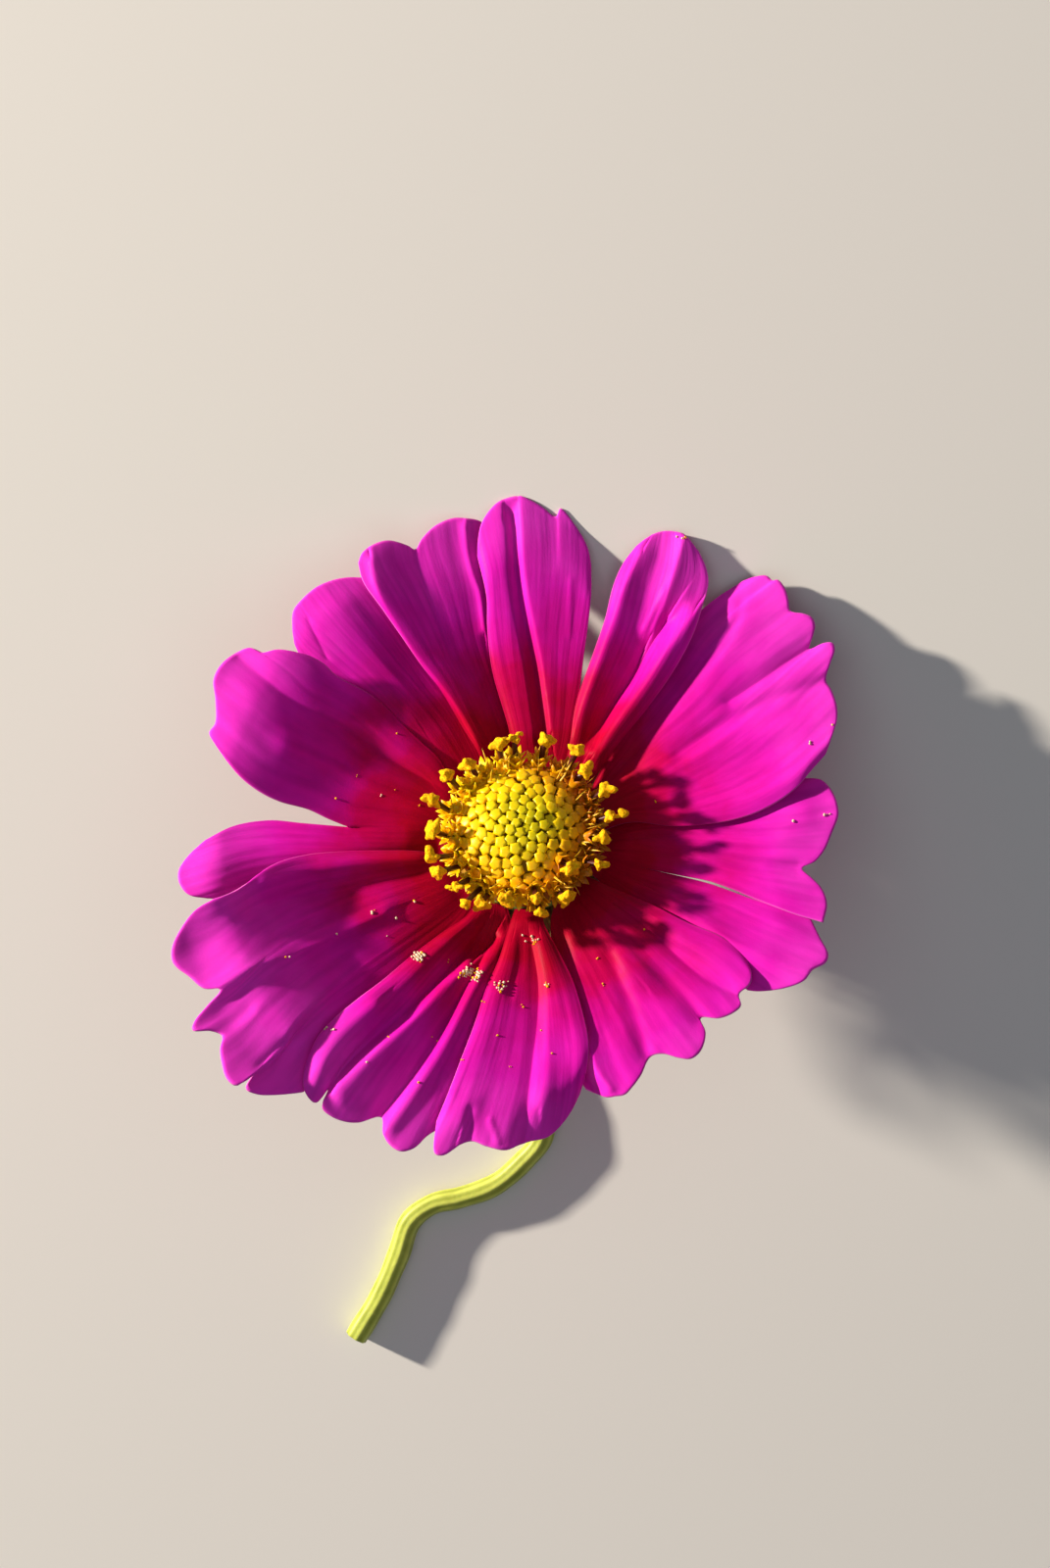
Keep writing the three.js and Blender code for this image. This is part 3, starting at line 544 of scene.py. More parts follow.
        "tip": [(-22.8, -25.6), (-25.1, -25.8), (-26.9, -25.7), (-28, -25.1), (-26.7, -23), (-28.9, -24.8),
                (-29.9, -24.1), (-30.4, -22.6), (-30.6, -21.1), (-30.4, -19.8), (-31.5, -19.3),
                (-33.4, -19.2), (-33.2, -18.3), (-31.9, -16.7), (-30.6, -15.1), (-32.3, -15), (-33.9, -13.7),
                (-35, -12.9), (-35.5, -12.2), (-35.5, -10.8), (-34.6, -8.9), (-33.2, -7.1)],
        "cw": [(-6.9, -2.2), (-9.5, -1.3), (-15, -1.1), (-18.6, -1.2), (-21.3, -1.4), (-24.1, -2),
               (-25.9, -2.8), (-27.7, -4.2), (-29.5, -5.3), (-31.4, -6)],
        "margins": (-0.9, 0.8), "rolls": (0, 0.25), "droop": -0.8, "cup": (2.6, 20.8, 31.2, 0.3),
        "creases": [
            (0.35, 1, 0.8, 2, [(-10.6, -1.9), (-16.5, -2.3), (-22.5, -3.3), (-26, -4.2)]),
            (-0.55, 1.2, 0.9, 1.3, [(-9, -3.1), (-14.5, -4.1), (-18.5, -5.2), (-24, -6), (-27.4, -6.8)]),
            (0.6, 0.9, 1.6, 1.3, [(-14, -7.4), (-16.3, -8.4), (-19.3, -9.8), (-23.6, -11.7), (-28, -13.1),
                                  (-30.7, -14.8)]),
            (-0.2, 0.7, 0.9, 2, [(-27.8, -17.3), (-28.8, -18.2), (-30.4, -19.6)]),
            (-0.3, 0.5, 0.5, 1.3, [(-24.4, -20.5), (-26.5, -22.8)]),
        ],
    },
    "petal_left_split": {
        "ccw": [(-7.1, -1.6), (-11, -3.2), (-15, -3.4), (-19, -3.3), (-23, -3.6), (-26, -4.4), (-28.5, -5.4),
                (-31.4, -6)],
        "tip": [(-32.3, -5.9), (-34.1, -5.5), (-35, -4.2), (-35, -3.1), (-34.1, -1.7)],
        "seam": [(-7.2, 1), (-12, 1.2), (-17.7, 1.3)],
        "nearWall": [(-22.3, 1.7), (-25.9, 2), (-29.5, 1.4), (-32.3, 0)],
        "farWall": [(-19.9, 2.2), (-21.8, 3.1), (-24.7, 3.9), (-26.6, 4.8), (-28.5, 6.2), (-30, 7.9),
                    (-31.2, 9.6)],
        "farTip": [(-31.9, 10.9), (-31.3, 11.9), (-31.3, 14.4), (-31.5, 16.3), (-30.8, 17.8), (-29.5, 18.9),
                   (-27.8, 19.6), (-26.6, 19.1), (-25.1, 19.4)],
        "cw": [(-6.5, 3.2), (-8.4, 8.1), (-10.3, 10), (-12.3, 11.9), (-14.2, 13.8), (-16.1, 15.2),
               (-18.9, 16.7), (-20.3, 18), (-21.8, 18.8), (-23.4, 19.2)],
        "margins": (-0.9, 0.2), "rolls": (0, 0.3), "droop": 0, "splitAt": 0.42, "seamAt": 0.5,
        "wallLift": (0, -0.6), "cups": [(-2, 14, 30, 0), (2.1, 17.5, 30, 0)],
        "creases": [
            (-0.5, 1.1, 0.9, 1.3, [(-7.3, 4.7), (-9.9, 6.1), (-13.6, 8.2), (-16.7, 10.4), (-21.2, 12.7),
                                   (-24, 14.6), (-29, 18.6)]),
            (0.3, 1.6, 1.6, 2, [(-8.5, 2.6), (-14, 5.2), (-19, 7.4), (-24, 9.5)]),
            (0.35, 2.2, 2.2, 2, [(-12, -0.4), (-20, -0.6), (-27, -1.2), (-32, -2.8)]),
        ],
    },
    "petal_upper_left": {
        "ccw": [(-6.2, 3.6), (-9.2, 6.6), (-12.8, 10), (-16.6, 13.3), (-20, 16), (-22.4, 18.2), (-23.3, 20)],
        "tip": [(-23.5, 21.7), (-23.4, 23.4), (-22.6, 24.5), (-21.1, 25.8), (-19.5, 26.5), (-18, 26.8)],
        "cw": [(-4.3, 5.6), (-4, 8), (-4.9, 10.5), (-6.3, 13.5), (-8.6, 16.8), (-10.8, 20), (-12.8, 23),
               (-14.4, 25.2), (-16, 26.8)],
        "margins": (-0.5, -1), "rolls": (0, 0), "droop": 0.5, "tilt": 0.03, "cup": (0.3, 18, 28, 0),
        "creases": [
            (-0.12, 0.25, 0.35, 1.3, [(-20, 18.6), (-20.9, 20.4), (-21.9, 22.4)]),
            (0.3, 2.4, 2, 2, [(-11.7, 13.5), (-15, 18.6), (-18.3, 23.4)]),
        ],
    },
    "petal_top_left": {
        "ccw": [(-3.9, 5.9), (-4.4, 8.6), (-6.2, 11.6), (-8.4, 15.4), (-10.3, 17.8), (-12.3, 20.7),
                (-14.2, 23.4), (-16.3, 26.4), (-16.8, 28.3)],
        "tip": [(-16.4, 29.3), (-15.4, 30.1), (-13.8, 30.6), (-11.8, 30.1), (-11, 29.7), (-10.3, 30.8),
                (-9, 32.1), (-7.2, 32.9), (-5.9, 32.9), (-4.1, 32.5)],
        "cw": [(-1, 6.9), (-0.3, 9.4), (-0.4, 12), (-1.8, 17.3), (-2.3, 21.5), (-2.3, 25), (-2.8, 29),
               (-3, 31)],
        "margins": (0.5, -0.6), "rolls": (0.2, 0), "rise": 4.6, "droop": 0.3, "tilt": -0.13,
        "creases": [
            (0.55, 0.5, 2.4, 1.3, [(-3.7, 7.4), (-5.3, 11.4), (-7.8, 15.2), (-10.7, 18.8), (-12.8, 22),
                                   (-14.7, 25.3), (-15.4, 28.5)]),
            (-0.2, 1, 0.9, 1.3, [(-8.3, 20.2), (-9.6, 24.4), (-10.4, 27), (-11, 29.6)]),
            (0.45, 0.45, 0.9, 1.3, [(-3.9, 21.5), (-4.4, 25.3), (-5, 27), (-5.6, 29.3), (-5.9, 32.2)]),
        ],
    },
}


# Height over the petal plane. The bowl is rise x (distance past the base / reach) to a power, with a cup
# where there is one, less a droop at the rim on the left and at each tip. Then the margins, bell-shaped
# from each side edge, their rolls, the creases, each height x exp(-(distance / width) to its power), and
# fine pleats, a cosine across.
def petalHeight(spec, cup, seen, along, across, fullWidth):
    radius = np.hypot(seen[..., 0], seen[..., 1] / np.cos(np.radians(head["sightTilt"])))
    azimuth = np.degrees(np.arctan2(seen[..., 1], seen[..., 0])) % 360
    leftness = np.cos(np.clip((azimuth - bowl["droopAzimuth"]) / bowl["droopSpread"], -1, 1) * np.pi / 2) ** 2
    outward = np.clip(radius - bowl["baseRadius"], 0, None) / bowl["reach"]
    height = spec.get("rise", bowl["rise"]) * outward ** bowl["power"]
    lift, start, end, inset = cup
    height += lift * smoothStep(start, end, radius) * smoothStep(-0.01, inset, across)
    height -= leftness * bowl["droop"] * smoothStep(bowl["droopFrom"], bowl["droopTo"], radius)
    height -= spec["droop"] * smoothStep(petalForm["droopFrom"], petalForm["droopTo"], along)
    clear = smoothStep(petalForm["marginsFrom"], petalForm["marginsFull"], radius)
    height += clear * spec.get("tilt", 0) * (across - 0.5) * fullWidth
    toEdges = (across * fullWidth, (1 - across) * fullWidth)
    for lift, roll, distance in zip(spec["margins"], spec["rolls"], toEdges):
        height += clear * lift * np.exp(-(distance / petalForm["marginWidth"]) ** 2)
        height -= clear * roll * np.exp(-(distance / petalForm["rollWidth"]) ** 2)
    creased = smoothStep(petalForm["creasesFrom"], petalForm["creasesFull"], radius)
    for lift, ccwWidth, cwWidth, power, line in spec["creases"]:
        off = offLine(seen, alongLine(line, np.linspace(0, 1, petalForm["creaseSamples"])))
        width = np.where(off > 0, ccwWidth, cwWidth)
        height += creased * lift * np.exp(-(np.abs(off) / width) ** power)
    pleats = np.cos(2 * np.pi * across * fullWidth.max() / petalForm["pleatSpacing"])
    pleated = smoothStep(petalForm["pleatsFrom"], petalForm["pleatsFull"], radius)
    return height + petalForm["pleats"] * pleated * pleats


def sideEdge(spec, name, shares):  # a side edge; the wall of a split follows the seam first
    if not name.endswith("Wall"):
        return alongLine(spec[name], shares)
    split = spec["splitAt"]
    wall = alongLine([spec["seam"][-1], *spec[name]], np.clip((shares - split) / (1 - split), 0, 1))
    seam = alongLine(spec["seam"], np.clip(shares / split, 0, 1))
    return np.where((shares <= split)[:, None], seam, wall)


# A blade between two side edges: straight across from edge to edge, plus the tip's bulge past its own
# chord, which fades towards the base as share to the power bow. It gives where each point is seen, the
# point, its share of the width and its distance from the nearest free edge.
def blade(spec, first, second, tip, start, end, cup, wallLift, shares):
    least = petalForm["lobeColumns"]
    columns = int(petalForm["columns"] * (least + (1 - least) * (end - start)))
    share = np.linspace(0, 1, columns)[None, :, None]
    edgeA, edgeB = sideEdge(spec, first, shares), sideEdge(spec, second, shares)
    rim = alongLine([spec[first][-1], *spec[tip], spec[second][-1]], share[0, :, 0])
    bulge = rim - ((1 - share[0]) * rim[0] + share[0] * rim[-1])
    seen = (1 - share) * edgeA[:, None] + share * edgeB[:, None]
    seen = seen + shares[:, None, None] ** petalForm["bow"] * bulge
    along = np.repeat(shares[:, None], columns, axis=1)
    across = np.repeat(start + (end - start) * share[:, :, 0], len(shares), axis=0)
    fullWidth = np.linalg.norm(sideEdge(spec, "ccw", shares) - sideEdge(spec, "cw", shares), axis=1)[:, None]
    height = petalHeight(spec, cup, seen, along, across, fullWidth)
    if wallLift:
        beyond = smoothStep(spec["splitAt"], spec["splitAt"] + petalForm["wallFull"], along)
        height += wallLift * beyond * np.exp(-((across - spec["seamAt"]) / petalForm["wallWidth"]) ** 2)
    gaps = [np.linalg.norm(seen - rim[None], axis=-1)]
    for name, edge in ((first, edgeA), (second, edgeB)):
        gap = np.linalg.norm(seen - edge[:, None], axis=-1)
        if name.endswith("Wall"):  # the seam is no free edge
            gap[along <= spec["splitAt"]] = np.inf
        gaps.append(gap)
    return seen, seenAt(seen[..., 0], seen[..., 1], height), across, np.minimum.reduce(gaps)


# How far to lift points so that the petal rests on the surface: a smooth maximum of their height and a
# thin gap, blended over soft mm, less their height.
def onSurface(height):
    gap, soft = petalForm["restGap"], petalForm["restBlend"]
    share = np.clip(0.5 + 0.5 * (height - gap) / soft, 0, 1)
    return gap + share * (height - gap) + soft * share * (1 - share) * 0.5 - height


petalFaces = {}  # each petal's seen places and its middle surface, for what has fallen on it


def makePetal(name, spec, material):
    rows = petalForm["rows"]
    if "seam" in spec:
        split, seamAt, (nearLift, farLift) = spec["splitAt"], spec["seamAt"], spec["wallLift"]
        inner = max(2, int(rows * split))
        shares = np.concatenate([np.linspace(0, split, inner), np.linspace(split, 1, rows - inner)[1:]])
        nearCup, farCup = spec.get("cups", [petalForm["noCup"]] * 2)
        blades = [blade(spec, "ccw", "nearWall", "tip", 0, seamAt, nearCup, nearLift, shares),
                  blade(spec, "farWall", "cw", "farTip", seamAt, 1, farCup, farLift, shares)]
    else:
        shares = np.linspace(0, 1, rows)
        blades = [blade(spec, "ccw", "cw", "tip", 0, 1, spec.get("cup", petalForm["noCup"]), 0, shares)]
    numbers, count = [], 0
    for seen, *_ in blades:
        numbers.append(np.arange(count, count + seen[..., 0].size).reshape(seen.shape[:2]))
        count += seen[..., 0].size
    if len(blades) > 1:  # one row of vertices along the seam, where the two lobes are still one
        numbers[1][:inner, 0] = numbers[0][:inner, -1]
    faces = np.vstack([gridFaces(index) for index in numbers])
    seen, points, across, edge = (
        np.concatenate([part[i].reshape(index.size, -1) for part, index in zip(blades, numbers)])
        for i in range(4))
    thickness, rimThickness = petalForm["thickness"], petalForm["rimThickness"]
    points = points + onSurface(toRow(points)[:, 2:] * 1000 - thickness / 2) * lean[2]
    full = smoothStep(0, petalForm["rimWidth"], edge[:, 0])
    solid, solidFaces = thicken(points, faces, rimThickness + (thickness - rimThickness) * full)
    shell = Shell("radius", "across", "edge", "under")
    shell.add(solid, solidFaces, radius=np.tile(np.hypot(points[:, 0], points[:, 1]), 2),
              across=np.tile(across, (2, 1)), edge=np.tile(edge, (2, 1)),
              under=np.repeat([0.0, 1.0], len(points)))
    petalFaces[name] = (seen, points)
    place(shell.make(name + "_tissue", [material]), "petal", name)


petalTissue = makePetalTissue()
for petalName, petalSpec in petals.items():
    makePetal(petalName, petalSpec, petalTissue)
print("petals", len(petals))

# The closed florets: a dome of buds set at the golden angle.
disc = {
    "radius": 8.0, "bottom": 0.9, "height": 5.5,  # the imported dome, which the tops of the florets follow
    "ground": 0.6,  # mm from the dome down to what they stand on
    "groundFoot": 0.7, "groundRadius": 7.0,  # that one's lowest height, and how wide it is there
    "reach": 7.0,  # the closed ones fill the dome out to this radius
    "area": 1.32, "youngShare": 0.5, "youngCount": 14.0,  # mm2 for each: less for the youngest, in the middle
    "turn": 137.508, "turnSpread": 1.2,  # degrees from each floret to the next
    "size": 1.12, "sizeSpread": 0.04,  # of the width that fills its area
    "tilt": 0.9, "tiltSpread": 4.0,  # share of the dome's own tilt, and degrees
    "heightSpread": 0.07,
    "lobes": 5,
    # (radius, height) rings of one, and how much its five folded lobes sway them
    "form": [(0, -0.9), (0.6, -0.9), (0.88, -0.45), (0.98, -0.12), (0.9, 0.12), (0.55, 0.24), (0, 0.17)],
    "radiusWaves": [0, 0, 0.05, 0.1, 0.15, 0.08, 0],
    "heightWaves": [0, 0, 0, 0.02, 0.0, 0.03, 0],
    "paintedShadeTop": 0.05, "paintedShadeFoot": -0.6,  # the heights between which a painted shade darkens the buds, down in the folds
    "ripe": 0.76, "paintedShadeRight": 0.62,  # at the rim, and how much painted shade browns the right side
}
lobeTurn = 360 / disc["lobes"]


def domeHeight(radius):  # half an ellipsoid: bottom + height x root(1 - (radius / its radius) squared)
    return disc["bottom"] + disc["height"] * np.sqrt(np.clip(1 - (radius / disc["radius"]) ** 2, 0, 1))


def domeTilt(radius):  # degrees between the dome's normal and the axis, from the ellipsoid's gradient
    rise = domeHeight(radius) - disc["bottom"]
    return np.degrees(np.arctan2(radius / disc["radius"] ** 2, rise / disc["height"] ** 2))


def onDome(azimuth, radius, above=0.0):  # a point of the dome, moved out along the dome's normal
    a, t = np.radians(azimuth), np.radians(domeTilt(radius))
    out = radius + above * np.sin(t)
    return np.stack([out * np.cos(a), out * np.sin(a), domeHeight(radius) + above * np.cos(t)], -1)


def ripenessAndShade(azimuth, least, paintedRightShade):  # the given ripeness, and browner towards the right by a painted shade
    return least + paintedRightShade * smoothStep(-0.3, 0.9, np.cos(np.radians(azimuth)))


# Skin of a floret: green while young, then yellow and amber, with a soft waxy light; the amber on the right
# side is also a painted shade. The folds between neighbours are darkened by a painted shade, mixed in by
# depth.
def makeFloretSkin(name, shadeTint):
    material, tree, shader = newMaterial(name, {
        "Roughness": 0.38, "IOR": 1.42, "Specular IOR Level": 0.3, "Subsurface Weight": 0.25,
        "Subsurface Scale": 0.0006, "Subsurface Radius": (1.0, 0.6, 0.1)})
    depth, age = (
        addNode(tree, "Attribute", out="Fac", attribute_name=value) for value in ("depth", "ripe"))
    here = addNode(tree, "TexCoord", out="Object")
    # Mottle of about 1 mm, from one floret to the next.
    noise = addNode(tree, "TexNoise", {"Scale": 900.0, "Detail": 3.0}, {"Vector": here})
    mottle = addNode(tree, "MapRange", {
        "From Min": 0.3, "From Max": 0.7, "To Min": -0.12, "To Max": 0.12}, {"Value": noise})
    ripe = addNode(tree, "Math", links={0: age, 1: mottle}, operation="ADD")
    skin = addNode(tree, "ValToRGB", links={"Fac": ripe}, stops=[
        (0.03, "#c8b806"), (0.17, "#d8c204"), (0.33, "#f0ca04"), (0.62, "#f2b200"), (0.95, "#b06400")])
    # Painted shade: mixed towards the dark tint by depth, down in the folds.
    colour = addNode(tree, "Mix", {7: linear(shadeTint)}, {0: depth, 6: skin}, out=2, data_type="RGBA")
    tree.links.new(colour, shader["Base Color"])
    # Grain of 0.15 mm.
    grain = addNode(tree, "TexNoise", {"Scale": 7000.0, "Detail": 2.0}, {"Vector": here})
    bump = addNode(tree, "Bump", {"Strength": 0.6, "Distance": 0.00002}, {"Height": grain})
    tree.links.new(bump, shader["Normal"])
    return material


# Each floret has its own area of the dome's skin, so its radius is where the skin inside it adds up to
# the areas of those before it. The ground is a smaller dome under them.
def makeClosedFlorets(skin, ground):
    samples = 400
    radii = np.linspace(0, disc["radius"] * 0.98, samples)
    slope = np.gradient(domeHeight(radii), radii)
    cap = np.concatenate([[0], np.cumsum(2 * np.pi * radii[1:] * np.hypot(1, slope[1:]) * np.diff(radii))])
    areas = disc["area"] * (1 - disc["youngShare"] * np.exp(-np.arange(samples) / disc["youngCount"]))
    radius = np.interp(np.cumsum(areas) - areas / 2, cap, radii)
    count = int((radius < disc["reach"]).sum())
    radius, areas = radius[:count], areas[:count]
    azimuth = np.arange(count) * disc["turn"] + chance.normal(0, disc["turnSpread"], count)
    hexagons = 0.866  # area of one that is 1 wide
    size = 0.5 * np.sqrt(areas / hexagons) * chance.normal(disc["size"], disc["sizeSpread"], count)
    tilt = domeTilt(radius) * disc["tilt"] + chance.normal(0, disc["tiltSpread"], count)
    axes = standing(azimuth, tilt, chance.uniform(0, lobeTurn, count))
    form, faces = turned(disc["form"], 2 * disc["lobes"], disc["radiusWaves"], disc["heightWaves"],
                         disc["lobes"])
    places = onDome(azimuth, radius, chance.normal(0, disc["heightSpread"], count))
    many, manyFaces = copies(form, faces, axes, places, size)
    shell = Shell("ripe", "depth")
    # Painted shade: depth grows down each bud's sides, into the folds between neighbours.
    depth = smoothStep(disc["paintedShadeTop"], disc["paintedShadeFoot"], form[..., 2].ravel())
    outward = radius / disc["radius"]
    ripe = ripenessAndShade(azimuth, disc["ripe"] * outward ** 1.2, disc["paintedShadeRight"] * outward ** 2)
    shell.add(many, manyFaces, ripe=np.repeat(ripe, len(depth)), depth=np.tile(depth, count))
    innerRadius, innerHeight = disc["radius"] - disc["ground"], disc["height"] - disc["ground"]
    profile = [(0, disc["groundFoot"]), (disc["groundRadius"], disc["groundFoot"])]
    for angle in np.linspace(0, np.pi / 2, 9)[:-1]:
        profile.append((innerRadius * np.cos(angle), disc["bottom"] + innerHeight * np.sin(angle)))
    profile.append((0, disc["bottom"] + innerHeight))
    shell.add(*turned(profile, 36), slot=1)
    place(shell.make("closed_floret_buds", [skin, ground]), "closed_florets", "closed_florets")
    return count


# What shows in the gaps: brown, dry and dull, and darker than the chaff: a painted shade of the gaps.
chaffAndShadeGround, *_ = newMaterial("chaffAndShadeGround", {"Roughness": 0.85, "Base Color": linear("#a87c08")})
# c09008 is the painted shade of the folds between buds.
print("closed florets", makeClosedFlorets(makeFloretSkin("floretSkin", "#c09008"), chaffAndShadeGround))

# The open florets and those about to open, in a ring at the dome's rim.
corolla = {  # a funnel of five teeth: (radius, height) rings up its outside and down its inside
    "form": [(0, -0.2), (0.28, -0.2), (0.34, 0.5), (0.44, 1.0), (0.62, 1.5), (0.86, 1.95),
             (0.8, 2.0), (0.54, 1.5), (0.3, 1.1), (0, 1.0)],
    "radiusWaves": [0, 0, 0, 0.03, 0.1, 0.28, 0.28, 0.1, 0.03, 0],
    "heightWaves": [0, 0, 0, 0, 0.08, 0.34, 0.34, 0.08, 0, 0],
    "sides": 20, "toothPower": 0.8,
    "shade": 0.9, "shadeTop": 1.5, "shadeFoot": 0.9,  # how dark the painted shade gets down in the funnel, and the heights where that sets in
    "rings": [(34, 7.35, 57.0, -1.0), (26, 6.75, 46.0, -1.2)],  # count, radius, tilt, height over the dome
    "azimuthSpread": 2.5, "radiusSpread": 0.1, "tiltSpread": 7.0, "heightSpread": 0.15,
    "size": 0.95, "sizeSpread": 0.07,
    # Ripeness, the painted shade that browns the right side, and the spread.
    "ripe": 0.4, "paintedShadeRight": 0.56, "ripeSpread": 0.06,
}
openFlorets = {
    # where each pollen head shows, its height over the petal plane and its kind
    "heads": [
        (-2.4, 9.8, 5.6, "tall"), (-0.8, 10.3, 5.6, "arms"), (2.3, 10.1, 5.6, "clump"),
        (5.6, 9.1, 5.6, "clump"), (6.4, 7.1, 5.6, "clump"), (8.4, 5.1, 5.6, "tall"),
        (8.9, 2.4, 5.6, "double"), (8.2, 0.3, 5.6, "clump"), (7.8, -2.5, 5.6, "small"),
        (5.1, -2.9, 6.8, "star"), (4.4, -5.9, 5.6, "clump"), (1.9, -7.4, 5.6, "small"),
        (1.5, -5.9, 6.4, "small"), (-1.7, -6.0, 6.4, "clump"), (-4.3, -6.5, 5.6, "clump"),
        (-5.8, -6.4, 5.6, "small"), (-6.8, -4.7, 5.6, "arms"), (-8.5, -3.2, 5.6, "clump"),
        (-9.4, -1.8, 5.6, "clump"), (-9.2, 0.9, 5.6, "broad"), (-9.2, 4.1, 5.6, "tall"),
        (-7.7, 6.7, 5.6, "clump"), (-5.5, 7.8, 5.6, "clump")],
    "footRadius": 7.35, "footInside": 1.9, "footAbove": 0.45,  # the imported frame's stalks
    # The right side's extra ripeness is a painted shade that browns it.
    "cupSunk": 1.25, "cupSize": 1.02, "ripe": 0.56, "paintedShadeRight": 0.34, "ripeSpread": 0.05,
    # the anther tube: five ribs, and its radius at shares of its length
    "tubeRadius": 0.27, "tubeSides": 15, "tubeRibs": 0.1, "tubeSunk": 0.3,
    "tubeShares": [0, 0, 0.15, 0.5, 0.8, 0.95, 0.95], "tubeSwell": [0, 0.9, 0.95, 1.05, 1.1, 0.9, 0],
    # the pollen head: knobs and how far and how sharply they stand out; a star's stand out more
    "knobs": 13, "knobRise": 0.55, "knobSharp": 15.0, "starRise": 0.75, "starSharp": 18.0,
    "kinds": {  # across, along and through the clump in mm
        "clump": (0.66, 0.62, 0.66), "tall": (0.62, 0.82, 0.62), "broad": (0.8, 0.6, 0.7),
        "small": (0.5, 0.45, 0.5), "star": (0.74, 0.5, 0.74), "double": (0.5, 0.5, 0.5),
        "arms": (0.45, 0.45, 0.45)},
    "headSize": 0.88,  # of those, where no knob stands out
    "second": (1.35, 0.25, 0.42),  # a double's: how far right and up of the first it shows, and its size
    "bridgeRadii": [0, 0.26, 0.2, 0.26, 0],
    # the two arms of the style: points (to the side, up) from the head's middle, and radii along them
    "armLine": [(0.15, 0.25), (0.65, 0.45), (1.0, 0.05)], "armShares": [0, 0, 0.3, 0.6, 0.85, 1, 1],
    "armRadii": [0, 0.16, 0.2, 0.2, 0.24, 0.16, 0],
}


def makeAntherTube():  # five anthers joined in a tube: maroon, almost black, a little glossy
    material, tree, shader = newMaterial("antherTube", {"Roughness": 0.42, "Specular IOR Level": 0.4})
    here = addNode(tree, "TexCoord", out="Object")
    noise = addNode(tree, "TexNoise", {"Scale": 3000.0, "Detail": 3.0}, {"Vector": here})
    colour = addNode(tree, "Mix", {6: linear("#2c0806"), 7: linear("#5c1a0c")}, {0: noise}, out=2,
                     data_type="RGBA")
    tree.links.new(colour, shader["Base Color"])
    return material


def makePollen():  # grains of 0.03 mm in crumbs of 0.25 mm: dry, dull and a strong yellow
    material, tree, shader = newMaterial("pollen", {
        "Roughness": 0.85, "Specular IOR Level": 0.15, "Subsurface Weight": 0.15, "Subsurface Scale": 0.0004,
        "Subsurface Radius": (1.0, 0.7, 0.1)})
    here = addNode(tree, "TexCoord", out="Object")
    crumbs = addNode(tree, "TexNoise", {"Scale": 4200.0, "Detail": 3.0}, {"Vector": here})
    share = addNode(tree, "MapRange", {"From Min": 0.35, "From Max": 0.65}, {"Value": crumbs})
    colour = addNode(tree, "Mix", {6: linear("#e09200"), 7: linear("#ffcc08")}, {0: share}, out=2,
                     data_type="RGBA")
    tree.links.new(colour, shader["Base Color"])
    bump = addNode(tree, "Bump", {"Strength": 1.0, "Distance": 0.00012}, {"Height": crumbs})
    tree.links.new(bump, shader["Normal"])
    return material


def corollaForm():  # its points and faces, and how much painted shade darkens each point
    points, faces = turned(corolla["form"], corolla["sides"], corolla["radiusWaves"], corolla["heightWaves"],
                           power=corolla["toothPower"])
    shade = smoothStep(corolla["shadeTop"], corolla["shadeFoot"], points[..., 2].ravel())
    return points, faces, corolla["shade"] * shade


# Two rings of corollas round the dome, each one swayed a little in every way.
def makeRimCorollas(skin):
    form, faces, depth = corollaForm()
    shell = Shell("ripe", "depth")
    for count, ringRadius, tilt, above in corolla["rings"]:
        azimuth = 360 * np.arange(count) / count + chance.normal(0, corolla["azimuthSpread"], count)
        radius = ringRadius + chance.normal(0, corolla["radiusSpread"], count)
        tilts = tilt + chance.normal(0, corolla["tiltSpread"], count)
        axes = standing(azimuth, tilts, chance.uniform(0, lobeTurn, count))
        places = onDome(azimuth, radius, above + chance.normal(0, corolla["heightSpread"], count))
        sizes = chance.normal(corolla["size"], corolla["sizeSpread"], count)
        many, manyFaces = copies(form, faces, axes, places, sizes)
        ripe = ripenessAndShade(azimuth, corolla["ripe"], corolla["paintedShadeRight"])
        ripe = ripe + chance.normal(0, corolla["ripeSpread"], count)
        shell.add(many, manyFaces, ripe=np.repeat(ripe, len(depth)), depth=np.tile(depth, count))
    place(shell.make("rim_corollas", [skin]), "closed_florets")


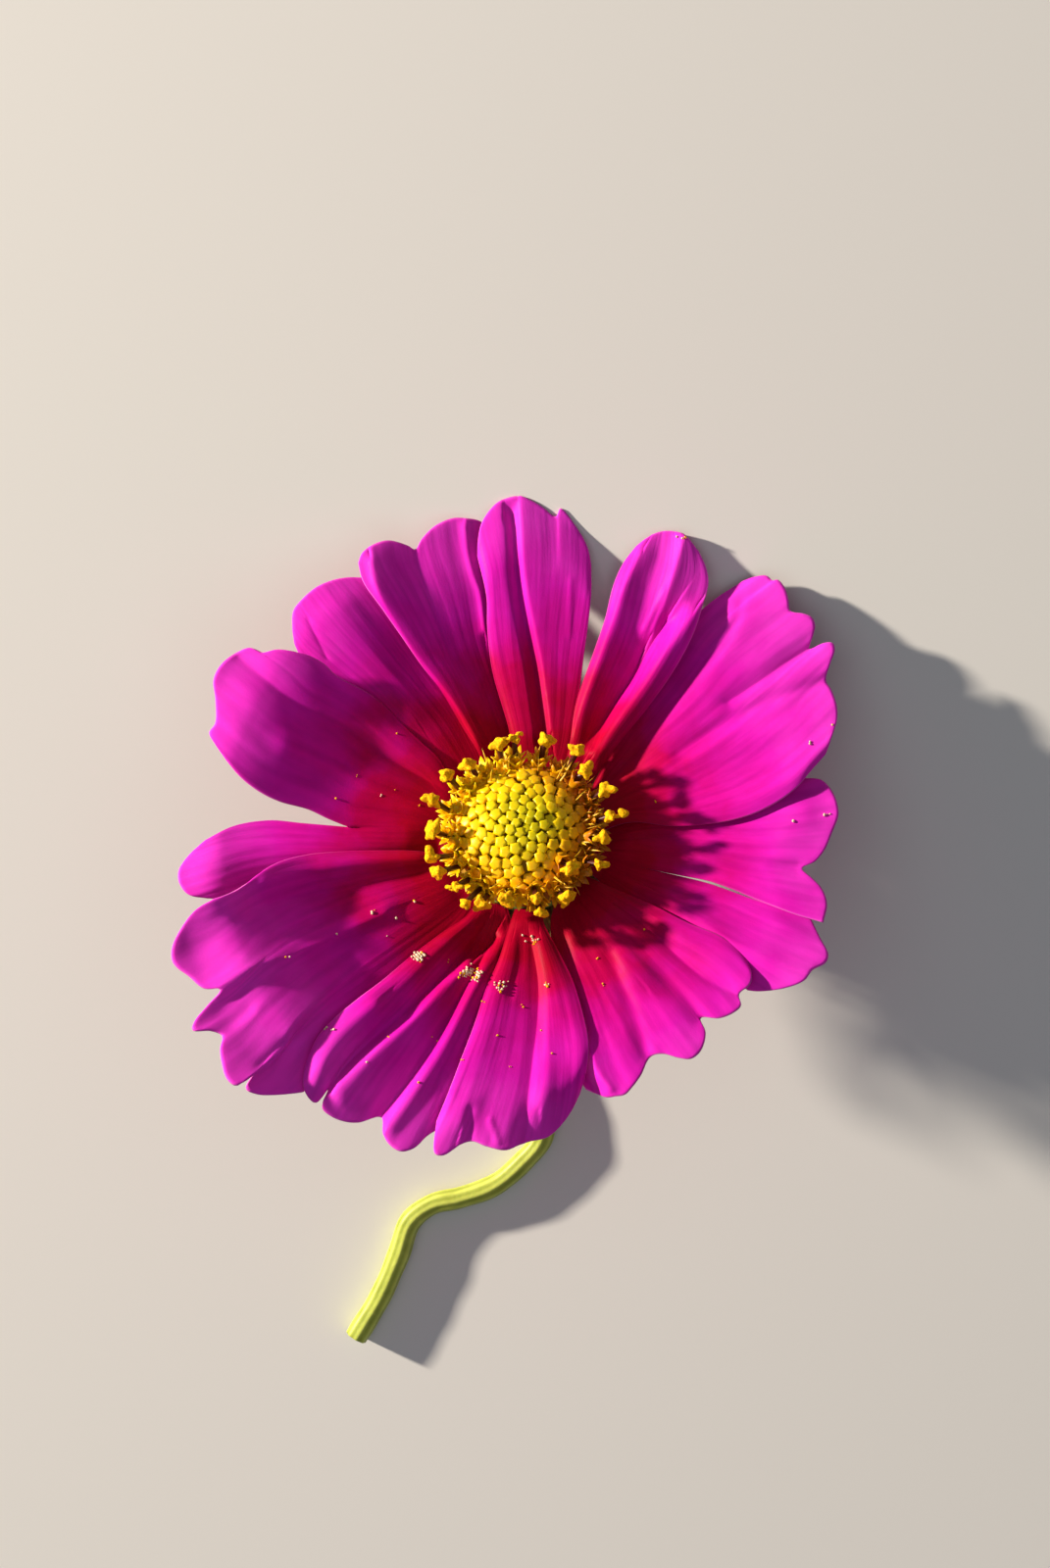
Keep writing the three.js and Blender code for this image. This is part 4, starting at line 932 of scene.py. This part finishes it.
# One open floret: its corolla at the foot, a ribbed tube from there to where the pollen head shows, and
# the head, a lump. A double one has a second head beside it, and arms are the two of the style.
def makeOpenFloret(number, spec, materials):
    x, y, height, kind = spec
    top = seenAt(np.array(x), np.array(y), np.array(height))
    azimuth, reach = np.degrees(np.arctan2(top[1], top[0])), np.hypot(top[0], top[1])
    footRadius = min(openFlorets["footRadius"], reach - openFlorets["footInside"])
    foot = onDome(azimuth, footRadius, openFlorets["footAbove"])
    stalk = top - foot
    tilt = np.degrees(np.arctan2(np.hypot(stalk[0], stalk[1]), stalk[2]))
    axes = standing(azimuth, tilt, chance.uniform(0, lobeTurn))[None]
    side, up = axes[0, :, 1], axes[0, :, 2]
    shell = Shell("ripe", "depth")
    form, faces, depth = corollaForm()
    cupFoot = foot - openFlorets["cupSunk"] * up
    cup, cupFaces = copies(form, faces, axes, cupFoot[None], np.array([openFlorets["cupSize"]]))
    ripe = ripenessAndShade(azimuth, openFlorets["ripe"], openFlorets["paintedShadeRight"])
    shell.add(cup, cupFaces, ripe=ripe + chance.normal(0, openFlorets["ripeSpread"]), depth=depth)
    sides = openFlorets["tubeSides"]
    ribs = 1 + openFlorets["tubeRibs"] * np.cos(disc["lobes"] * 2 * np.pi * np.arange(sides) / sides)
    radii = openFlorets["tubeRadius"] * np.array(openFlorets["tubeSwell"])[:, None] * ribs
    line = [foot - openFlorets["tubeSunk"] * unit(stalk), foot + 0.5 * stalk, top]
    shell.add(*sweep(line, openFlorets["tubeShares"], radii, sides, reference=axes[0, :, 0]), slot=1)
    size = openFlorets["headSize"] * np.array(openFlorets["kinds"][kind])
    knobs = chance.normal(0, 1, (openFlorets["knobs"], 3)) * [1, 1, 0.8]
    look = "star" if kind == "star" else "knob"
    ball, ballFaces = lump(15, 22, knobs, openFlorets[look + "Rise"], openFlorets[look + "Sharp"])
    shell.add(top + (ball * size[[0, 2, 1]]) @ axes[0].T, ballFaces, slot=2)
    if kind == "double":  # with a bridge that sags a little between the two
        right, above, radius = openFlorets["second"]
        second = top + right * sight[:, 0] + above * sight[:, 1]
        other, otherFaces = lump(9, 14, chance.normal(0, 1, (5, 3)), 0.4, 5.0)
        shell.add(second + radius * other, otherFaces, slot=2)
        bridge = [top, top + 0.7 * sight[:, 0] - 0.05 * up, second]
        shell.add(*sweep(bridge, [0, 0, 0.5, 1, 1], openFlorets["bridgeRadii"], 8, reference=up), slot=2)
    if kind == "arms":  # curled outwards and dusted
        shares, radii = openFlorets["armShares"], openFlorets["armRadii"]
        for way in (-side, side):
            arm = [top + out * way + above * up for out, above in openFlorets["armLine"]]
            shell.add(*sweep([foot + 0.8 * stalk] + arm, shares, radii, 8, reference=stalk), slot=2)
    name = "open_floret_%02d" % number
    place(shell.make(name + "_parts", materials), "open_floret", name)


# d09408 is the painted shade down in the funnels and between the corollas.
rimSkin = makeFloretSkin("corollaSkin", "#d09408")
makeRimCorollas(rimSkin)
pollen = makePollen()
floretMaterials = [rimSkin, makeAntherTube(), pollen]
for number, spec in enumerate(openFlorets["heads"], 1):
    makeOpenFloret(number, spec, floretMaterials)
print("open florets", len(openFlorets["heads"]))

# Chaff among the florets, and what has fallen on the petals.
chaff = {
    "count": 64, "rightShare": 0.6, "rightSpread": (10, 45),  # degrees: that share lies on the right
    "radius": (5.6, 7.5), "length": (1.9, 3.4), "sunk": 0.8,
    "tilt": (4, 9), "bend": 0.2, "bendAt": 0.55, "tipBend": 2.2,  # its tip bends this much further
    "halfWidth": 0.13, "taper": [0, 1, 0.9, 0.6, 0], "taperShares": [0, 0, 0.4, 0.75, 1], "flatness": 0.25,
}
fallenPollen = {
    # seen place, grains, spread in mm: pale crumbs
    "crumbs": [
        (-5.2, -13.5, 80, 0.42), (-10.6, -11.8, 50, 0.28), (-2.3, -14.7, 20, 0.34), (0.9, -10.1, 14, 0.3),
        (2.3, -14.5, 6, 0.16), (-19.8, -19.0, 5, 0.2), (-18.8, -9.4, 2, 0.05), (-23.6, -11.7, 2, 0.08),
        (-10.9, -6.1, 2, 0.05), (-12.8, -7.8, 1, 0.05), (-13.6, -9.7, 1, 0.05), (-15.2, -7.1, 3, 0.2),
        (-16.0, -22.2, 2, 0.06), (-10.6, -24.4, 2, 0.08), (-14.4, 4.6, 2, 0.1), (-19.0, 4.4, 1, 0.05),
        (16.4, 31.0, 5, 0.2), (31.4, 11.9, 3, 0.1), (29.2, 10.1, 2, 0.1), (31.2, 2.9, 3, 0.1),
        (27.5, 2.1, 2, 0.1)],
    "paleShare": 0.8,  # the others in a crumb are yellow
    "crumbShape": (1.2, 0.8),  # wider than high in the picture
    # lone yellow grains, two at each place
    "grains": [
        (1.2, -10.5), (-2.3, -19.8), (1.6, -19.4), (-1.0, -23.0), (-6.1, -22.2), (-8.9, -20.2), (7.6, -12.0),
        (-12.7, 10.9), (-16.7, 6.7), (-12.9, 5.2), (-10.4, 3.4), (8.2, -14.6), (-4.1, -16.3), (3.1, -21.6),
        (12.6, -9.0), (-7.4, -12.4), (0.2, -16.8), (13.4, 4.1), (-13.9, -19.8)],
    "grainSize": 0.14,
    "crumbSizes": (0.6, 1.6), "loneSizes": (0.5, 1.1), "loneSpread": 0.08,
    "near": 0.3, "closest": 8,  # mm2 round a spot, and the petal points in there that are compared
}


# Each bristle is a flat tapering strip along a bent line from its foot on the dome.
def makeChaff(material):
    shell = Shell()
    count = chaff["count"]
    anywhere, rightSide = chance.uniform(0, 360, count), chance.normal(*chaff["rightSpread"], count)
    azimuth = np.where(chance.random(count) < chaff["rightShare"], rightSide, anywhere)
    radius, length = chance.uniform(*chaff["radius"], count), chance.uniform(*chaff["length"], count)
    tilt = domeTilt(radius) + chance.normal(*chaff["tilt"], count)
    axes = standing(azimuth, tilt, chance.uniform(0, 360, count))
    bend = chance.normal(0, chaff["bend"], (count, 2))
    foot = onDome(azimuth, radius, -chaff["sunk"])
    halfWidths = chaff["halfWidth"] * np.array(chaff["taper"])
    for i in range(count):
        side, other, up = axes[i].T
        middle = foot[i] + chaff["bendAt"] * length[i] * up + bend[i, 0] * side
        tip = foot[i] + length[i] * up + chaff["tipBend"] * (bend[i, 0] * side + bend[i, 1] * other)
        shell.add(*sweep([foot[i], middle, tip], chaff["taperShares"], halfWidths, 6, reference=other,
                         squash=chaff["flatness"]))
    place(shell.make("chaff_bristles", [material]), "closed_florets")


def makeCrumb():  # withered bits of florets: cream, dry and dull
    material, tree, shader = newMaterial("driedCrumb", {"Roughness": 0.8, "Specular IOR Level": 0.2})
    here = addNode(tree, "TexCoord", out="Object")
    noise = addNode(tree, "TexNoise", {"Scale": 2600.0, "Detail": 3.0}, {"Vector": here})
    colour = addNode(tree, "Mix", {6: linear("#c8985c"), 7: linear("#ffeeda")}, {0: noise}, out=2,
                     data_type="RGBA")
    tree.links.new(colour, shader["Base Color"])
    return material


# Grains scattered about each seen place. Each one lies on the petal that shows there: of the petal
# points nearest to it in the picture, the one nearest to the camera.
def makeFallenPollen(materials):
    seen, surface = (np.vstack(parts) for parts in zip(*petalFaces.values()))
    nearness = surface @ sight[:, 2]
    spots, sizes, slots = [], [], []
    for x, y, count, spreadOut in fallenPollen["crumbs"]:
        spots.append(np.array([x, y]) + chance.normal(0, spreadOut, (count, 2)) * fallenPollen["crumbShape"])
        sizes.append(chance.uniform(*fallenPollen["crumbSizes"], count))
        slots.append((chance.random(count) < fallenPollen["paleShare"]).astype(int))
    lone = np.repeat(np.array(fallenPollen["grains"]), 2, axis=0)
    spots.append(lone + chance.normal(0, fallenPollen["loneSpread"], lone.shape))
    sizes.append(chance.uniform(*fallenPollen["loneSizes"], len(lone)))
    slots.append(np.zeros(len(lone), int))
    spots, sizes = np.vstack(spots), fallenPollen["grainSize"] * np.concatenate(sizes)
    shell = Shell()
    for spot, size, slot in zip(spots, sizes, np.concatenate(slots)):
        away = ((seen - spot) ** 2).sum(1)
        near = np.flatnonzero(away < fallenPollen["near"])
        if not len(near):
            continue
        close = near[np.argsort(away[near])[:fallenPollen["closest"]]]
        top = surface[close[nearness[close].argmax()]]
        grain, faces = lump(6, 8, chance.normal(0, 1, (4, 3)), 0.4, 4.0)
        lift = [0, 0, petalForm["thickness"] / 2]
        shell.add(top + size * (0.6 * grain + [0, 0, 0.5]) + lift, faces, slot)
    place(shell.make("fallen_pollen", materials), "open_floret")


# Dry papery bristles, straw gold, thin enough to glow.
chaffScale, *_ = newMaterial("chaffScale", {
    "Roughness": 0.5, "Subsurface Weight": 0.4, "Subsurface Scale": 0.0004,
    "Subsurface Radius": (1.0, 0.7, 0.3), "Base Color": linear("#e6ac14")})
makeChaff(chaffScale)
makeFallenPollen([pollen, makeCrumb()])
print("chaff and fallen pollen")

# Under the petals: the receptacle, two rows of bracts and the stem.
involucre = {
    "receptacle": [(0, -7.2), (1.28, -7.2), (1.32, -7.0), (1.7, -6.2), (2.6, -5.0), (4.4, -3.6), (6.2, -2.3),
                   (7.25, -1.25), (7.3, -0.9), (7.2, -0.62), (5.0, -0.6), (5.0, 0.5), (4.9, 0.6), (0, 0.6)],
    "sides": 96,
    "ribs": 16, "ribHeight": 0.025, "ribsBetween": (-6.9, -1.3),
    "bracts": 8,
    # spine as (radius, height) pairs in the head frame
    "inner": {"spine": [(3.0, -5.6), (5.0, -4.1), (7.4, -2.5), (10.0, -2.0), (12.4, -1.3)], "azimuth": 22.5,
              "thickness": 0.16, "cup": 0.28, "pleats": 0.04, "wave": 0.12},
    "outer": {"spine": [(2.5, -6.6), (4.6, -5.7), (7.6, -4.5), (11.0, -3.9), (14.4, -3.7)], "azimuth": 0.0,
              "thickness": 0.34, "cup": 0.2, "pleats": 0.02, "wave": 0.1},
    "rows": 34, "columns": 17,
    "waves": (5, 8), "sway": 0.25, "sag": (0, 0.35),  # differences from one bract to the next
    "pleatCount": 9, "marginThickness": 0.45, "tipFrom": 0.93, "tipNarrowing": 0.85,
}
stemForm = {
    "radius": 1.15, "base": -7.5, "straight": -9.8,  # heights in the head frame, where its line starts
    "rest": 1.22,  # height of its middle where it lies
    "bendShare": 0.42, "bendHeight": 2.0,
    # its line on the surface about the head's axis foot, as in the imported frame: the third is extra height
    "line": [(-2.5, -14.5, 0.35), (-2.2, -20.0, 0), (-0.5, -26.0, 0), (1.1, -31.0, 0), (1.2, -35.3, 0),
             (-0.9, -38.1, 0), (-3.7, -40.5, 0), (-7.3, -41.9, 0), (-10.1, -42.6, 0), (-12.4, -44.4, 0),
             (-13.7, -48.0, 0), (-15.6, -52.5, 0), (-18.2, -57.0, 0)],
    "ribs": 8, "ribHeight": 0.035, "sides": 48, "rows": 240,
    "swells": [(0.02, 40, 0), (0.02, 97, 1)],  # how much, how fast along the stem, and from where
    "cutRadius": 0.97,  # of the radius just before the cut
}


def innerHalfWidth(along):  # ovate: a sine to the power 0.8 over a narrow base, drawn in towards the tip
    return 0.75 + 1.75 * np.sin(np.pi * np.minimum(1, along * 0.95)) ** 0.8 - 0.55 * along ** 4


def outerHalfWidth(along):  # lance-shaped: a parabola that peaks early and falls to the narrow tip
    return 0.3 + 0.85 * (1 - along) * (0.55 + 1.4 * along)


# Green skin of the stem and receptacle: yellow-green on the ribs, deeper between them, a little mottled.
def makeGreenSkin(name, light, dark):
    material, tree, shader = newMaterial(name, {
        "Roughness": 0.45, "Specular IOR Level": 0.4, "Subsurface Weight": 0.12, "Subsurface Scale": 0.0006,
        "Subsurface Radius": (0.5, 1.0, 0.1)})
    ribbed = addNode(tree, "Attribute", out="Fac", attribute_name="rib")
    rib = addNode(tree, "MapRange", {"From Min": -1.0, "To Min": 0.15, "To Max": 0.85}, {"Value": ribbed})
    here = addNode(tree, "TexCoord", out="Object")
    noise = addNode(tree, "TexNoise", {"Scale": 700.0, "Detail": 4.0}, {"Vector": here})
    mottle = addNode(tree, "MapRange", {
        "From Min": 0.3, "From Max": 0.7, "To Min": -0.2, "To Max": 0.2}, {"Value": noise})
    share = addNode(tree, "Math", links={0: rib, 1: mottle}, operation="ADD")
    colour = addNode(tree, "Mix", {6: linear(dark), 7: linear(light)}, {0: share}, out=2, data_type="RGBA")
    tree.links.new(colour, shader["Base Color"])
    # Cells of 0.3 mm.
    cells = addNode(tree, "TexNoise", {"Scale": 3500.0, "Detail": 3.0}, {"Vector": here})
    bump = addNode(tree, "Bump", {"Strength": 0.7, "Distance": 0.00004}, {"Height": cells})
    tree.links.new(bump, shader["Normal"])
    return material


# Bract tissue: parallel veins from base to tip, and thin pale margins.
def makeBractTissue(name, light, dark, margin, veins):
    material, tree, shader = newMaterial(name, {
        "Roughness": 0.5, "Subsurface Weight": 0.2, "Subsurface Scale": 0.0005,
        "Subsurface Radius": (0.8, 1.0, 0.3)})
    along, side = (
        addNode(tree, "Attribute", out="Fac", attribute_name=value) for value in ("along", "side"))
    veinX = addNode(tree, "Math", {1: veins}, {0: side}, operation="MULTIPLY")
    veinY = addNode(tree, "Math", {1: 0.8}, {0: along}, operation="MULTIPLY")
    veinPlace = addNode(tree, "CombineXYZ", links={"X": veinX, "Y": veinY})
    noise = addNode(tree, "TexNoise", {"Scale": 1.0, "Detail": 2.0}, {"Vector": veinPlace})
    vein = addNode(tree, "MapRange", {"From Min": 0.35, "From Max": 0.65}, {"Value": noise})
    skin = addNode(tree, "Mix", {6: linear(dark), 7: linear(light)}, {0: vein}, out=2, data_type="RGBA")
    offMiddle = addNode(tree, "Math", links={0: side}, operation="ABSOLUTE")
    rim = addNode(tree, "MapRange", {"From Min": 0.8, "To Max": 0.8}, {"Value": offMiddle})
    colour = addNode(tree, "Mix", {7: linear(margin)}, {0: rim, 6: skin}, out=2, data_type="RGBA")
    tree.links.new(colour, shader["Base Color"])
    bump = addNode(tree, "Bump", {"Strength": 0.8, "Distance": 0.00005}, {"Height": vein})
    tree.links.new(bump, shader["Normal"])
    return material


# A profile turned about the axis, ribbed between two heights.
def makeReceptacle(skin):
    sides, profile = involucre["sides"], involucre["receptacle"]
    low, high = involucre["ribsBetween"]
    waves = [involucre["ribHeight"] if low < height < high else 0.0 for _, height in profile]
    points, faces = turned(profile, sides, waves, 0.0, involucre["ribs"])
    rib = np.cos(involucre["ribs"] * 2 * np.pi * np.arange(sides) / sides)
    shell = Shell("rib")
    shell.add(points, faces, rib=np.tile(rib, len(profile)))
    place(shell.make("receptacle_cup", [skin]), "receptacle", "receptacle")


# A bract along its spine: side runs from -1 to 1 across, cup x side2 curls its margins up, and its
# margins wave a little.
def makeBract(number, kind, halfWidth, material):
    spec = involucre[kind]
    along, side = np.meshgrid(
        np.linspace(0, 1, involucre["rows"]), np.linspace(-1, 1, involucre["columns"]), indexing="ij")
    spine = alongLine(spec["spine"], along[:, 0])
    wave = np.sin(along * chance.uniform(*involucre["waves"]) + chance.uniform(0, 6)) * side
    narrowing = 1 - involucre["tipNarrowing"] * smoothStep(involucre["tipFrom"], 1.0, along)
    y = side * halfWidth(along) * narrowing + chance.normal(0, involucre["sway"]) * along ** 2
    z = spine[:, None, 1] + spec["cup"] * side ** 2 + spec["wave"] * wave * smoothStep(0.3, 1, along)
    z = z + spec["pleats"] * np.cos(side * involucre["pleatCount"])
    z = z - chance.uniform(*involucre["sag"]) * along ** 3
    points = np.stack([spine[:, None, 0] + 0 * side, y, z], -1).reshape(-1, 3)
    margin = involucre["marginThickness"]
    thickness = spec["thickness"] * (margin + (1 - margin) * (1 - np.abs(side.ravel()) ** 3))
    solid, faces = thicken(points, gridFaces(np.arange(along.size).reshape(along.shape)), thickness)
    turn = turnAbout(np.array([0, 0, 1.0]), spec["azimuth"] + 360 * number / involucre["bracts"])
    shell = Shell("along", "side")
    shell.add(solid @ turn.T, faces, along=np.tile(along.ravel(), 2), side=np.tile(side.ravel(), 2))
    name = "%s_bract_%d" % (kind, number + 1)
    place(shell.make(name + "_blade", [material]), kind + "_bract", name)


# A ribbed tube from the receptacle down to the surface and along it, whose radius swells and shrinks by
# two sines, with a flat cut end.
def makeStem(skin, pith):
    foot = toRow(np.array([[0, 0, stemForm["base"]], [0, 0, stemForm["straight"]]])) * 1000
    lying = np.array(stemForm["line"]) + [head["place"][0], head["place"][1], stemForm["rest"]]
    landing = np.append(lying[0, :2], 0)
    bend = foot[1] + stemForm["bendShare"] * (landing - foot[1])
    bend[2] = stemForm["rest"] + stemForm["bendHeight"]
    line = np.vstack([foot, bend, lying])
    shares = np.concatenate([[0, 0], np.linspace(0, 1, stemForm["rows"])[1:-1], [1, 1, 1]])
    rib = np.cos(stemForm["ribs"] * 2 * np.pi * np.arange(stemForm["sides"]) / stemForm["sides"])
    swell = sum(much * np.sin(shares * fast + start) for much, fast, start in stemForm["swells"])
    size = stemForm["radius"] * (1 + swell)
    size[[0, -1]] = 0  # the middles of both ends
    size[-2] *= stemForm["cutRadius"]
    radii = size[:, None] * (1 - stemForm["ribHeight"] * (1 - rib))
    points, faces = sweep(line, shares, radii, stemForm["sides"])
    cut = np.repeat(np.arange(len(shares) - 1) >= len(shares) - 2, stemForm["sides"])
    shell = Shell("rib")
    shell.add(points, faces, slot=cut.astype(int), rib=np.tile(rib, len(shares)))
    place(shell.make("stem_stalk", [skin, pith], inRow=True), "stem", "stem")


# The pale cut end of the stem: spongy, wet and dull.
cutPith, *_ = newMaterial("cutPith", {"Roughness": 0.8, "Base Color": linear("#d8dfae")})
makeReceptacle(makeGreenSkin("receptacleSkin", "#8fa33e", "#5d7424"))
innerTissue = makeBractTissue("innerBractTissue", "#a8894c", "#5c4a1e", "#d9c896", 7.0)
outerTissue = makeBractTissue("outerBractTissue", "#7da044", "#4c7426", "#8fae58", 4.0)
for number in range(involucre["bracts"]):
    makeBract(number, "inner", innerHalfWidth, innerTissue)
    makeBract(number, "outer", outerHalfWidth, outerTissue)
makeStem(makeGreenSkin("stemSkin", "#ccd45c", "#8c982a"), cutPith)
print("receptacle, bracts and stem")

# The floor, the lights and the world: metres, watts and degrees.
studio = {
    "floor": 4.0,  # across
    "keyAzimuth": 157.0, "keyElevation": 16.0, "keyDistance": 1.1, "keySize": 0.06, "keyPower": 29.0,
    "fillHeight": 1.2, "fillSize": 1.4, "fillPower": 3.4,
    "world": 0.12,
}


# An area light at a distance from the head, facing it. At 90 degrees it hangs straight overhead.
def areaLight(name, azimuth, elevation, distance, size, power, colour):
    a, e = np.radians(azimuth), np.radians(elevation)
    back = np.array([np.cos(a) * np.cos(e), np.sin(a) * np.cos(e), np.sin(e)])
    light = bpy.data.objects.new(name, bpy.data.lights.new(name, "AREA"))
    bpy.context.scene.collection.objects.link(light)
    light.data.energy, light.data.size, light.data.color = power, size, linear(colour)[:3]
    side = unit(np.cross([0, 0, 1.0] if elevation < 89 else [0, 1.0, 0], back))
    pose = np.eye(4)
    pose[:3, :3] = np.stack([side, np.cross(back, side), back], 1)
    pose[:3, 3] = back * distance + np.array(head["place"]) / 1000
    light.matrix_world = Matrix(pose.tolist())


def makeStudio():
    half = studio["floor"] / 2
    corners = [(-half, -half, 0), (half, -half, 0), (half, half, 0), (-half, half, 0)]
    mesh = bpy.data.meshes.new("floor")
    mesh.from_pydata(corners, [], [(0, 1, 2, 3)])
    floor = bpy.data.objects.new("floor", mesh)
    bpy.context.scene.collection.objects.link(floor)
    # Backdrop paper: matt, even and pale.
    paper, *_ = newMaterial("paperBackdrop", {"Roughness": 0.9, "Base Color": linear("#dedbd4")})
    mesh.materials.append(paper)
    areaLight("key", studio["keyAzimuth"], studio["keyElevation"], studio["keyDistance"], studio["keySize"],
              studio["keyPower"], "#fff4e6")
    areaLight("fill", 0, 90, studio["fillHeight"], studio["fillSize"], studio["fillPower"], "#eef3ff")
    world = bpy.data.worlds.new("studio")
    world.use_nodes = True
    background = world.node_tree.nodes["Background"].inputs
    background["Color"].default_value = linear("#e9eefc")
    background["Strength"].default_value = studio["world"]
    bpy.context.scene.world = world
    bpy.context.scene.view_settings.view_transform = "Standard"


makeStudio()
print("studio")
